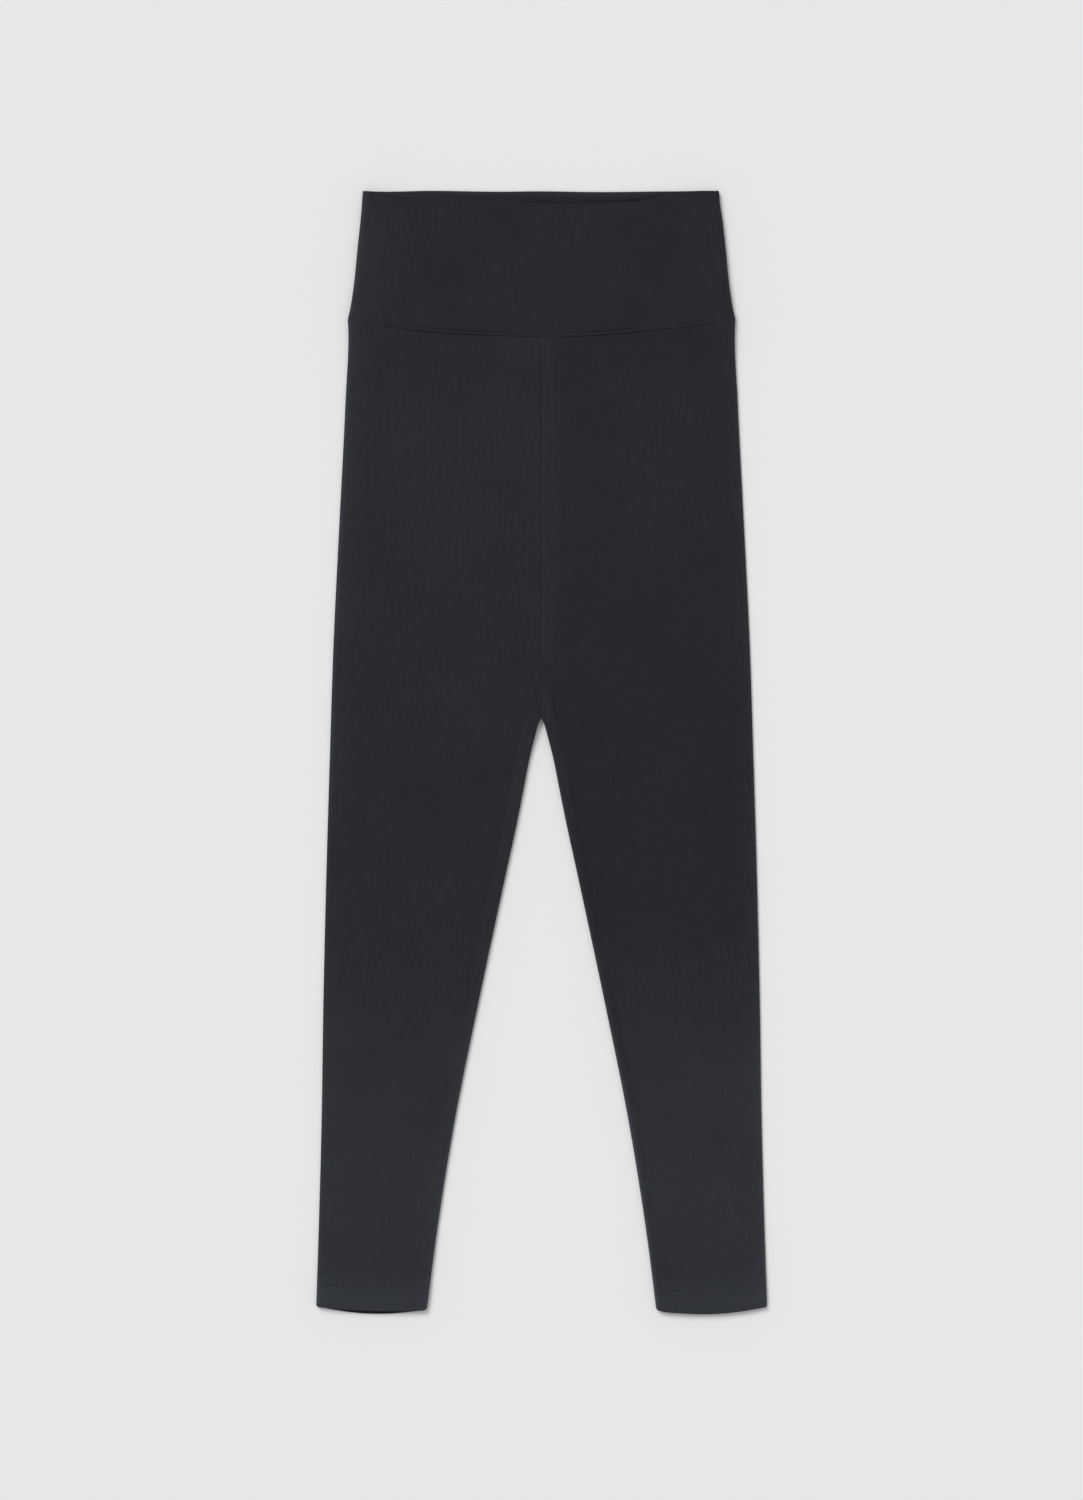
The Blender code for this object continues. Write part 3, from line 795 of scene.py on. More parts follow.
    def waist_groove(self, x: Array, along: Array) -> Array:
        """How far the leg is pressed down at the waist seam."""
        below_seam = along - self.outline.waist_seam.at(x)
        return self.outline.pressed_seam(x, below_seam - self.outline.half_gap)

    def allowance(self, from_inner: Array, along: Array, run: float) -> Array:
        """Where the centre seam's allowance lies, from 0 to 1, with a run at its side edge."""
        beside = fall(self.allowance_width - run, self.allowance_width, from_inner)
        return beside * fall(self.crotch_along - self.crotch_run, self.crotch_along, along)

    def seam_relief(self, x: Array, along: Array, from_inner: Array, inseam: Array) -> Array:
        """Relief of the seams on the upper side.

        Args:
            x: distance from the centre line.
            along: distance along.
            from_inner: distance from the leg's inner edge.
            inseam: distance from that edge to the inseam.

        Returns:
            Height above the plain cloth.
        """
        strip = fall(inseam - self.strip_run, inseam, from_inner)
        height = self.strip_rise.at(along) * strip
        height += self.allowance_rise * self.allowance(from_inner, along, self.allowance_run)
        height -= self.seam_groove(from_inner, along) + self.waist_groove(x, along)
        height -= self.inseam_depth.at(along) * self.valley(from_inner - inseam)
        depth, width = self.seam_hollow
        from_seam = along - self.outline.waist_seam.at(x) - self.outline.half_gap
        height += relief_of(self.creases, x, along) - depth * bell(from_seam, width)
        return np.maximum(height, self.seam_limits[0])

    def shade(self, x: Array, along: Array, from_inner: Array, inseam: Array, face: Array) -> Array:
        """Painted shade in the seams, painted highlights on the strip, allowance and rims.

        Args:
            x: distance from the centre line.
            along: distance along.
            from_inner: distance from the leg's inner edge.
            inseam: distance from that edge to the inseam.
            face: face value of each column.

        Returns:
            A factor for the cloth's colour.
        """
        outline = self.outline
        folded = self.folded(along)
        # Painted shade along the centre seam.
        depth, width = self.centre_dark
        centre = bell(from_inner, width) * (1.0 - folded) * self.centre_strength.at(along)
        # Painted highlight on the raised strip and the pressed allowance, and painted shade in the
        # inseam's valley.
        first, last = self.strip_tone_run
        strip = fall(inseam - first, inseam - last, from_inner)
        painted_light_and_shade = self.strip_tone * self.strip_rise.at(along) * strip
        painted_light_and_shade -= self.inseam_tone.at(along) * self.valley(from_inner - inseam)
        painted_light_and_shade += self.allowance_tone * self.allowance(from_inner, along, self.allowance_tone_run)
        # The creases' painted light and shade.
        painted_light_and_shade += tone_of(self.creases, x, along) + outline.painted_light_and_shade(x, along)
        # Painted shade at the waist seam.
        seam = outline.seam_tone(x, along - outline.waist_seam.at(x))
        # Painted highlights along the folded edges, for the nap's sheen.
        inner_rim, outer_rim = self.rims
        bloom = outer_rim.tone(outline.half_width.at(along) - np.abs(x), along)
        bloom += inner_rim.tone(from_inner, along) * folded
        return (self.tone.at(along) - depth * centre - seam + painted_light_and_shade * face) * (1.0 + bloom)

    def section(
        self, along: Array, dent: Array, columns: LegColumns, wall: Array | None
    ) -> tuple[Array, Array, Array]:
        """Lay the columns across the leg.

        A panel's points run from its start to its end, and a fold's points are at
        end + depth · cos a.

        Args:
            along: distances along, in rows by columns.
            dent: how far the folds draw in, at the hem's rounded corners.
            columns: the section's columns.
            wall: thickness of the wall outside the inner skin, or None for the outer skin.

        Returns:
            Distances from the centre line, of the points and of the flat panel's two ends.
        """
        inner_edge = self.inner_edge(along)
        folded = self.folded(along)
        panel_end = self.outline.half_width.at(along) - self.outline.fold_depth
        flat = np.zeros(along.shape)
        if wall is None:
            thick = flat
            depth_in = (self.inner_fold_depth - dent) * folded
            panel_start = inner_edge + self.inner_fold_depth * folded
        else:
            thick = wall
            closed = along > self.fork_along - self.cloth
            room = np.maximum(self.inner_fold_depth * folded - wall, self.least_fold) * closed
            depth_in = np.maximum(room - dent, 0.0)
            panel_start = inner_edge + wall * closed + room
        depth_out = np.maximum(self.outline.fold_depth - thick - dent, 0.0)
        inseam = self.inseam.at(along)
        strip_end = np.maximum(inner_edge + inseam, panel_start + self.least_strip)
        start = columns.pick(panel_start, strip_end, panel_end, panel_start, panel_start)
        end = columns.pick(strip_end, panel_end, panel_end, panel_end, panel_start)
        depth = columns.pick(flat, flat, depth_out, flat, -depth_in)
        x = start + (end - start) * columns.place + depth * np.cos(columns.angle)
        return x, panel_start, panel_end

    def skin(self, nominal: Array, columns: LegColumns, wall: Array | None = None) -> Arrays:
        """Points of one skin, in rows by columns.

        Their height is bottom + face · (top - bottom) outside, and
        wall + face · (top - 2 wall) inside.

        Args:
            nominal: nominal distances along of the rows.
            columns: the section's columns.
            wall: thickness of the wall outside the inner skin, or None for the outer skin.

        Returns:
            The points and their tones.
        """
        outline = self.outline
        along = self.along(nominal, columns)
        rows = np.broadcast_to(nominal[:, None], along.shape)
        dent = roll(outline.length - rows, self.hem_corner, self.hem_corner)
        x, panel_start, panel_end = self.section(along, dent, columns, wall)
        from_inner, inseam = x - self.inner_edge(along), self.inseam.at(along)
        signed, face = self.side.value * x, columns.face
        top = outline.height.at(along) + outline.relief(signed, along)
        top += outline.edge_height(along) * outline.near_edge(panel_end - x)
        top += outline.inner_rise * outline.near_edge(x - panel_start) * self.folded(along)
        tones = self.shade(signed, along, from_inner, inseam, face)
        if wall is None:
            top += self.seam_relief(signed, along, from_inner, inseam) + self.hem_relief(rows)
            seams = self.seam_groove(from_inner, along) + self.waist_groove(signed, along)
            drawn_up = seams + self.grooves(rows) + outline.drawn_up(signed, along)
            bottom = np.minimum(drawn_up, self.seam_limits[1])
            z = bottom + face * (top - bottom)
        else:
            z = wall + face * (top - 2.0 * wall)
            # Painted shade inside the hem's opening, on the lower panel's inner skin.
            mouth = (1.0 - face) * smooth_step(*self.mouth_from, along)
            tones = tones * (1.0 - self.mouth_shade * mouth)
        signed = signed + outline.drift(signed, along)
        return np.stack([signed, outline.length / 2.0 - along, z], axis=-1), tones

    def build(self, cloth: Material) -> Object:
        """Make the leg, hide the part that it stands in for, and hang it from the root.

        Args:
            cloth: the legs' material.

        Returns:
            The leg.
        """
        columns = self.columns()
        nominal, fullness = self.rows()
        hem_top = self.outline.length - self.hem_depth
        doubled = smooth_step(hem_top - self.hem_cloth_run, hem_top, nominal)[:, None]
        wall = self.cloth + (self.hem_cloth - self.cloth) * doubled
        wall = np.broadcast_to(wall, (len(nominal), len(columns.face)))
        points, tones = zip(self.skin(nominal, columns), self.skin(nominal, columns, wall))
        shell = Wall(
            name=f"{self.name}_cloth",
            points=round_over(np.stack(points), fullness),
            tones=np.stack(tones),
            first_ring=int(np.argmin(np.abs(nominal - self.fork_along))),
            closing=columns.closing,
            turned=self.side is Side.RIGHT,
        )
        piece = shell.build(cloth)
        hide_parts(self.name)
        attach(piece, "root")
        return piece

    def hem_path(self, above_edge: float) -> Arrays:
        """A closed path round the hem, on the cloth, with its outward directions.

        Args:
            above_edge: the path's height above the hem's edge.

        Returns:
            Points and unit directions.
        """
        points, _ = self.skin(np.array([self.outline.length - above_edge]), self.columns())
        ring = np.concatenate([points[0], points[0, :1]])
        return ring, facing(ring, self.side.value)


@dataclass(frozen=True)
class Waistband:
    """One waistband piece of doubled cloth; the front one has a welt along its lower edge."""

    layer: Layer
    outline: Outline
    legs: tuple[Leg, Leg]
    cloth: float = 2.2
    fold_columns: int = 8
    side_gap: float = 0.15
    welt_width: float = 1.8
    welt_edge: Pair = (0.3, 0.5)
    welt_rise: float = 0.4
    welt_break: tuple[float, float, float, float] = (-3.0, 3.0, 15.0, 19.0)
    tone: float = 1.0
    rims: tuple[PaintedRimLight, PaintedRimLight] = (PaintedRimLight(0.36, 3.2, 0.15, 24), PaintedRimLight(0.48, 1.8, 0.04, 10))
    groove_above: float = 2.6
    groove_width: float = 0.8
    groove_depth: float = 0.3
    groove_tone: float = 0.36
    top_dark: Pair = (0.14, 1.2)
    mouth_pale: float = 0.4
    mouth_pale_run: Pair = (0.5, 4.0)
    mouth_dark: float = 0.30
    mouth_dark_from: Pair = (-24.0, 6.0)
    mouth_spots: tuple[tuple[float, float, float], ...] = ((0.24, 74.0, 14.0), (-0.2, -48.0, 26.0))
    mouth_line: Pair = (-0.4, 1.6)
    row_fractions: tuple[float, float, int] = (0.04, 0.93, 28)
    rows_above_seam: tuple[float, ...] = (
        6, 4.8, 4, 3.5, 3.15, 2.85, 2.6, 2.35, 2.1, 1.9, 1.7, 1.4, 1, 0.65, 0.4, 0.2, 0.07, 0,
    )

    @property
    def is_front(self) -> bool:
        """Whether this is the upper piece."""
        return self.layer is Layer.FRONT

    def columns(self) -> Arrays:
        """Columns: across from -1 to 1, and the angle round the folded edges."""
        angles = np.linspace(0.0, QUARTER, self.fold_columns + 1)[:-1]
        left, right = (leg.upper_across()[1:] for leg in self.legs)
        middle = np.concatenate([-left[::-1], [0.0], right])
        sides = np.ones(len(angles))
        across = np.concatenate([-sides, middle, sides])
        angle = np.concatenate([angles, np.full(len(middle), QUARTER), angles[::-1]])
        return across, angle

    def rows(self) -> tuple[Array, Array, Array]:
        """Rows from the top edge to the seam.

        Returns:
            For each row its fraction of the way down, its offset from there, and how full the
            wall is.
        """
        offsets, fullness = rounded_rim(self.cloth)
        fractions = np.linspace(*self.row_fractions)
        above_seam = -np.array(self.rows_above_seam) - self.outline.half_gap
        fraction = np.concatenate([np.zeros(len(offsets)), fractions, np.ones(len(above_seam))])
        offset = np.concatenate([offsets, np.zeros(len(fractions)), above_seam])
        full = np.concatenate([fullness, np.ones(len(fraction) - len(fullness))])
        return fraction, offset, full

    def top(self, x: Array) -> Array:
        """Distance along to this piece's top edge: the front one hangs below the back one."""
        edge = self.outline.front_top if self.is_front else self.outline.back_top
        return edge.at(x)

    def whole(self, x: Array) -> Array:
        """How whole the welt and its groove are: the centre seam breaks them."""
        first, last = self.welt_break[:2], self.welt_break[2:]
        outside = smooth_step(*last, x) + fall(*first, x)
        return outside * self.outline.welt_strength.at(x)

    def groove(self, x: Array, above_seam: Array) -> Array:
        """Depth of the groove that the waist stitches lie in."""
        whole = self.whole(x) if self.is_front else 1.0
        return self.groove_depth * whole * bell(above_seam - self.groove_above, self.groove_width)

    def seam_relief(self, x: Array, above_seam: Array) -> Array:
        """Relief at the seam on the outer side: a welt, the groove above it, and a rolled edge.

        Args:
            x: distance from the centre line.
            above_seam: distance above the seam.

        Returns:
            Height above the plain cloth.
        """
        pressed = self.outline.pressed_seam(x, above_seam) + self.groove(x, above_seam)
        if not self.is_front:
            return -pressed
        inside, outside = self.welt_edge
        slope = smooth_step(self.welt_width - inside, self.welt_width + outside, above_seam)
        return self.welt_rise * (1.0 - slope) * self.whole(x) - pressed

    def heights(self, x: Array, along: Array, relief: Array, inside: bool) -> Array:
        """Heights that a skin would have if its side folds were laid flat.

        Args:
            x: distance from the centre line.
            along: distance along.
            relief: relief at the seam.
            inside: whether this is the inner skin.

        Returns:
            Height above the surface that the garment lies on.
        """
        outline = self.outline
        wall = self.cloth if inside else 0.0
        if not self.is_front:
            return wall - relief if inside else outline.drawn_up(x, along) - relief
        to_fold = outline.half_width.at(along) - outline.fold_depth - np.abs(x)
        top = outline.height.at(along) - wall + outline.relief(x, along) + relief
        return top + outline.edge_rise * outline.near_edge(to_fold)

    def skin(self, fraction: Array, offset: Array, inside: bool) -> Arrays:
        """Points of one skin, in rows by columns.

        At the side folds x = across · panel + depth · cos a and z = edge + (flat - edge) · sin a.

        Args:
            fraction: each row's fraction of the way down.
            offset: each row's offset from there.
            inside: whether this is the inner skin.

        Returns:
            The points and their tones.
        """
        outline = self.outline
        across, angle = self.columns()
        top = self.top(across * (float(outline.half_width.at(0.0)) - outline.fold_depth))
        bottom = outline.waist_seam.at(across * outline.seam_panel_half)
        along = top + (bottom - top) * fraction[:, None] + offset[:, None]
        above_seam = bottom - outline.half_gap - along
        half = outline.half_width.at(along)
        x = across * (half - outline.fold_depth)
        relief = np.zeros(along.shape) if inside else self.seam_relief(x, above_seam)
        depth = outline.fold_depth - (self.cloth if inside else 0.0)
        x = x + np.sign(across) * depth * np.cos(angle)
        edge = outline.height.at(along) / 2.0 + (self.side_gap if self.is_front else -self.side_gap)
        z = edge + (self.heights(x, along, relief, inside) - edge) * np.sin(angle)
        # Painted highlights along the side folds, for the nap's sheen.
        left, right = (rim.tone(half + side * x, along) for rim, side in zip(self.rims, (1, -1)))
        # Painted shade at the waist seam.
        tones = self.tone - outline.seam_tone(x, above_seam) + left + right
        if self.is_front:
            # Painted shade under the front's top edge and in the stitch groove, and the creases'
            # painted light and shade.
            depth, width = self.top_dark
            tones = tones + outline.painted_light_and_shade(x, along) - depth * bell(along - top, width)
            tones = tones - self.groove_tone * self.groove(x, above_seam)
        elif inside:
            # Painted highlight and shadow inside the waist's mouth.
            tones = tones + self.mouth_shade(x, along)
        x = x + outline.drift(x, along)
        return np.stack([x, outline.length / 2.0 - along, z], axis=-1), tones

    def mouth_shade(self, x: Array, along: Array) -> Array:
        """Painted tone in the waist's mouth: a highlight at the edge, a shadow where the front lies
        on it.
        """
        from_top = along - self.outline.back_top.at(x)
        pale = self.mouth_pale * fall(*self.mouth_pale_run, from_top)
        tight = self.mouth_dark * smooth_step(*self.mouth_dark_from, x)
        tight += sum(depth * bell(x - place, width) for depth, place, width in self.mouth_spots)
        shift, width = self.mouth_line
        return pale - tight * bell(along - self.outline.front_top.at(x) - shift, width)

    def build(self, cloth: Material) -> Object:
        """Make the waistband piece, hide the part that it stands in for, and hang it from the root.

        Args:
            cloth: the waistband's material.

        Returns:
            The piece.
        """
        fraction, offset, fullness = self.rows()
        points, tones = zip(*(self.skin(fraction, offset, inside) for inside in (False, True)))
        shell = Wall(
            name=f"waistband_{self.layer.value}_cloth",
            points=round_over(np.stack(points), fullness),
            tones=np.stack(tones),
            first_ring=len(fraction),
            closing=0,
            turned=self.is_front,
        )
        piece = shell.build(cloth)
        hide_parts(f"waistband_{self.layer.value}")
        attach(piece, "root")
        return piece

    def stitch_path(self) -> Arrays:
        """The path of the stitches in the groove above the welt, with its outward directions."""
        offset = np.array([-self.groove_above - self.outline.half_gap])
        points, _ = self.skin(np.ones(1), offset, inside=False)
        return points[0], facing(points[0], 1.0 if self.is_front else -1.0)


def linear(hex_colour: str) -> Colour:
    """Turn an sRGB hex colour into linear light.

    Each channel c, from 0 to 1, becomes c / 12.92 up to 0.04045, and ((c + 0.055) / 1.055)^2.4
    above it.

    Args:
        hex_colour: such as "#2a2c30".

    Returns:
        Red, green, blue and a full alpha.
    """
    channels = [int(hex_colour[k : k + 2], 16) / 255.0 for k in (1, 3, 5)]
    light = [c / 12.92 if c <= 0.04045 else ((c + 0.055) / 1.055) ** 2.4 for c in channels]
    return light[0], light[1], light[2], 1.0


def add_node(
    tree: Tree, kind: str, inputs: dict[int | str, object] | None = None, **settings: object
) -> Node:
    """Add a shader node with its settings, values and links.

    Args:
        tree: the tree that it goes into.
        kind: the node's type, without the leading "ShaderNode".
        inputs: for each input's name or number, a value, or the output that is linked to it, or
            the node whose first output is.
        settings: the node's own properties.

    Returns:
        The node.
    """
    node = tree.nodes.new(f"ShaderNode{kind}")
    for name, value in settings.items():
        setattr(node, name, value)
    for name, value in (inputs or {}).items():
        if isinstance(value, (Node, Socket)):
            output = value.outputs[0] if isinstance(value, Node) else value
            tree.links.new(output, node.inputs[name])
        else:
            node.inputs[name].default_value = value
    return node


def maths(tree: Tree, operation: str, *values: object) -> Node:
    """Add a node that does one operation on values or outputs."""
    return add_node(tree, "Math", dict(enumerate(values)), operation=operation)


def make_material(name: str, surface: Callable[[Tree], dict[str, object]]) -> Material:
    """Make a material of one principled shader.

    Args:
        name: the material's name.
        surface: builds the nodes before the shader in a tree, and says what its inputs are.

    Returns:
        The new material.
    """
    material = bpy.data.materials.new(name)
    material.use_nodes = True
    tree = material.node_tree
    tree.nodes.clear()
    shader = add_node(tree, "BsdfPrincipled", surface(tree))
    add_node(tree, "OutputMaterial", {"Surface": shader})
    return material


def dyed(tree: Tree, colour: str, shade: Node) -> Socket:
    """A colour times a shade; the mixing node's colours are its inputs 6 and 7 and output 2."""
    inputs = {0: 1.0, 6: linear(colour), 7: shade}
    mix = add_node(tree, "Mix", inputs, data_type="RGBA", blend_type="MULTIPLY")
    return mix.outputs[2]


@dataclass(frozen=True)
class BrushedKnit:
    """Polyamide and elastane interlock, piece-dyed charcoal, brushed and pressed.

    The short nap scatters light, so the cloth is matt and even, with only a faint bloom at its
    edges, which the sheen gives in part and a painted highlight in the tone adds to. Wales run
    down it as very fine ribs, and dye and nap vary a little in streaks along them. Lengths are in
    millimetres. A patch and a streak each have a share, which is how far they change the colour.
    """

    name: str
    colour: str = "#232529"
    wale: float = 1.4
    course: float = 1.1
    loop_share: float = 0.5
    rib_height: float = 0.08
    nap: float = 1.1
    nap_height: float = 0.12
    noise: Pair = (0.3, 0.7)
    noise_mix: float = 0.6
    streak: Pair = (2.6, 14.0)
    streak_share: float = 0.06
    patch: float = 70.0
    patch_share: float = 0.06
    roughness: Pair = (0.82, 0.94)
    index: float = 1.53
    specular: float = 0.10
    sheen: float = 0.3
    sheen_roughness: float = 0.3
    sheen_tint: str = "#d2cfcc"

    def material(self) -> Material:
        """Make the material."""
        return make_material(self.name, self.surface)

    def surface(self, tree: Tree) -> dict[str, object]:
        """Build the nodes before the shader, and say what its inputs are."""
        uv = add_node(tree, "UVMap", uv_map=UV_NAME)
        low, high = self.roughness
        ends = {"Value": self.nap_noise(tree, uv), "To Min": low, "To Max": high}
        return {
            "Base Color": self.dye(tree, uv),
            "Roughness": add_node(tree, "MapRange", ends),
            "IOR": self.index,
            "Specular IOR Level": self.specular,
            "Sheen Weight": self.sheen,
            "Sheen Roughness": self.sheen_roughness,
            "Sheen Tint": linear(self.sheen_tint),
            "Normal": self.relief(tree, uv),
        }

    def nap_noise(self, tree: Tree, uv: Node) -> Node:
        """Noise of the brushed nap, about two fibre tufts to its scale."""
        scale = 1.0 / (self.nap * METRES)
        inputs = {"Vector": uv, "Scale": scale, "Detail": 4.0, "Roughness": self.noise_mix}
        return add_node(tree, "TexNoise", inputs, noise_dimensions="2D")

    def dye(self, tree: Tree, uv: Node) -> Socket:
        """The dyed colour, times streaks along the wales, broad patches and the cloth's tone, which
        holds painted light and shade.

        Args:
            tree: the material's nodes.
            uv: the cloth's own places.

        Returns:
            The colour.
        """
        across, along = (1.0 / (size * METRES) for size in self.streak)
        spread = add_node(tree, "Mapping", {"Vector": uv, "Scale": (across, along, 1.0)})
        inputs = {"Vector": spread, "Scale": 1.0, "Detail": 3.0, "Roughness": self.noise_mix}
        streaks = add_node(tree, "TexNoise", inputs, noise_dimensions="2D")
        where = add_node(tree, "TexCoord").outputs["Object"]
        inputs = {"Vector": where, "Scale": 1.0 / (self.patch * METRES), "Detail": 2.0}
        patches = add_node(tree, "TexNoise", inputs)
        shade = add_node(tree, "Attribute", attribute_name=TONE_NAME).outputs["Fac"]
        low, high = self.noise
        for noise, share in ((streaks, self.streak_share), (patches, self.patch_share)):
            inputs = {"Value": noise, "From Min": low, "From Max": high}
            inputs |= {"To Min": 1.0 - share, "To Max": 1.0 + share}
            factor = add_node(tree, "MapRange", inputs)
            shade = maths(tree, "MULTIPLY", shade, factor)
        return dyed(tree, self.colour, shade)

    def relief(self, tree: Tree, uv: Node) -> Node:
        """Ribs of V-shaped loops under a fuzzy nap.

        With u across and v along the wales, the ribs' height is
        cos(2πu / wale) + ½ sin(2π(v + zigzag(u)) / course).

        Args:
            tree: the material's nodes.
            uv: the cloth's own places.

        Returns:
            The surface's direction.
        """
        # Real wales are 0.65 mm apart and courses 0.5 mm. Both are drawn about twice as coarse,
        # because at their own size nothing of them would show.
        across, along = self.wale * METRES, self.course * METRES
        u, v, _ = add_node(tree, "SeparateXYZ", {0: uv}).outputs
        turn = maths(tree, "MULTIPLY", u, math.tau / across)
        rib = maths(tree, "COSINE", turn)
        zigzag = maths(tree, "PINGPONG", u, across / 2.0)
        slanted = maths(tree, "ADD", v, zigzag)
        climb = maths(tree, "MULTIPLY", slanted, math.tau / along)
        loop = maths(tree, "SINE", climb)
        knit = maths(tree, "MULTIPLY_ADD", loop, self.loop_share, rib)
        ribs = add_node(tree, "Bump", {"Distance": self.rib_height / 2.0 * METRES, "Height": knit})
        nap = self.nap_noise(tree, uv)
        inputs = {"Distance": self.nap_height * METRES, "Height": nap, "Normal": ribs}
        return add_node(tree, "Bump", inputs)


@dataclass(frozen=True)
class SewingThread:
    """Textured polyester thread in the cloth's colour.

    Its crimped filaments are a little smoother than the brushed cloth, so it catches slightly
    more light, and its plies wind round it. Lengths are in millimetres.
    """

    name: str
    colour: str = "#26282c"
    plies: float = 3.0
    ply_pitch: float = 0.8
    ply_height: float = 0.03
    ply_shade: Pair = (0.8, 1.1)
    roughness: float = 0.8
    index: float = 1.57
    specular: float = 0.1
    sheen: float = 0.05

    def material(self) -> Material:
        """Make the material."""
        return make_material(self.name, self.surface)

    def surface(self, tree: Tree) -> dict[str, object]:
        """Build the plies, whose height is sin(2π(round + along / pitch) · plies)."""
        uv = add_node(tree, "UVMap", uv_map=UV_NAME)
        around, along, _ = add_node(tree, "SeparateXYZ", {0: uv}).outputs
        wound = maths(tree, "MULTIPLY_ADD", along, 1.0 / (self.ply_pitch * METRES), around)
        turn = maths(tree, "MULTIPLY", wound, self.plies * math.tau)
        plies = maths(tree, "SINE", turn)
        height = self.ply_height / 2.0 * METRES
        # The colour is darker in the grooves between plies and paler on their crests: painted shade
        # and highlight of the twist.
        low, high = self.ply_shade
        inputs = {"Value": plies, "From Min": -1.0, "To Min": low, "To Max": high}
        return {
            "Base Color": dyed(tree, self.colour, add_node(tree, "MapRange", inputs)),
            "Roughness": self.roughness,
            "IOR": self.index,
            "Specular IOR Level": self.specular,
            "Sheen Weight": self.sheen,
            "Normal": add_node(tree, "Bump", {"Distance": height, "Height": plies}),
        }


@dataclass(frozen=True)
class SeamlessPaper:
    """Matt studio background paper, which scatters light evenly and has no gloss."""

    name: str
    colour: str = "#e7e7e7"

    def material(self) -> Material:
        """Make the material."""
        inputs = {"Base Color": linear(self.colour), "Roughness": 1.0, "Specular IOR Level": 0.0}
        return make_material(self.name, lambda _tree: inputs)


@dataclass(frozen=True)
class Studio:
    """A pale paper floor, a broad soft light from the upper left, even fill and the camera.

    The camera looks straight down. Its distance is view / 2 · lens / half the sensor, so that the
    frame's long side covers view millimetres at the cloth's height.
    """

    paper: SeamlessPaper
    floor_half: float = 20000.0
    floor_drop: float = 0.07
    key_turn: float = 128.0
    key_height: float = 42.0
    key_spread: float = 32.0
    key_strength: float = 2.0
    horizon: float = 0.80
    zenith: float = 0.55
    sky_change: Pair = (0.1, 0.5)
    lens: float = 85.0
    sensor: float = 36.0
    view: float = 1227.6
    cloth_top: float = 4.0
    aim: Pair = (-0.05, 1.8)

    def lay_floor(self) -> Object:
        """Lay the floor just under the garment."""
        corners = np.array([[-1.0, -1.0, 0.0], [1.0, -1.0, 0.0], [1.0, 1.0, 0.0], [-1.0, 1.0, 0.0]])
        points = (corners * self.floor_half - [0.0, 0.0, self.floor_drop]) * METRES
        mesh = bpy.data.meshes.new("studio_floor")
        mesh.from_pydata(points.tolist(), [], [(0, 1, 2, 3)])
        floor = place("studio_floor", mesh, self.paper.material())
        return floor

    def light(self) -> None:
        """Add the key light, turned from +X about the upward axis, and the fill of the room."""
        light = bpy.data.lights.new("key_light", "SUN")
        light.energy = self.key_strength
        light.angle = math.radians(self.key_spread)
        key = bpy.data.objects.new("key_light", light)
        tilt, turn = math.radians(90.0 - self.key_height), math.radians(self.key_turn)
        key.rotation_euler = (0.0, tilt, turn)
        bpy.context.scene.collection.objects.link(key)
        world = bpy.data.worlds.new("studio_room")
        world.use_nodes = True
        world.node_tree.nodes.clear()
        bpy.context.scene.world = world
        self.fill(world.node_tree)

    def fill(self, tree: Tree) -> None:
        """Light the room: as pale as the floor at the horizon, and dimmer overhead."""
        where = add_node(tree, "TexCoord").outputs["Generated"]
        up = add_node(tree, "SeparateXYZ", {0: where}).outputs[2]
        low, high = self.sky_change
        inputs = {"Value": up, "From Min": low, "From Max": high}
        inputs |= {"To Min": self.horizon, "To Max": self.zenith}
        strength = add_node(tree, "MapRange", inputs)
        white = (1.0, 1.0, 1.0, 1.0)
        glow = add_node(tree, "Background", {"Color": white, "Strength": strength})
        add_node(tree, "OutputWorld", {"Surface": glow})

    def set_camera(self) -> None:
        """Set the camera over the garment, with the waist at the top of the frame."""
        lens = bpy.data.cameras.new("camera")
        lens.lens = self.lens
        lens.sensor_width = self.sensor
        camera = bpy.data.objects.new("camera", lens)
        distance = self.view / 2.0 * self.lens / (self.sensor / 2.0)
        camera.location = [METRES * c for c in (*self.aim, self.cloth_top + distance)]
        bpy.context.scene.collection.objects.link(camera)
        bpy.context.scene.camera = camera

    def build(self) -> None:
        """Build the studio, and show colours as they are."""
        self.lay_floor()
        self.light()
        self.set_camera()
        bpy.context.scene.view_settings.view_transform = "Standard"


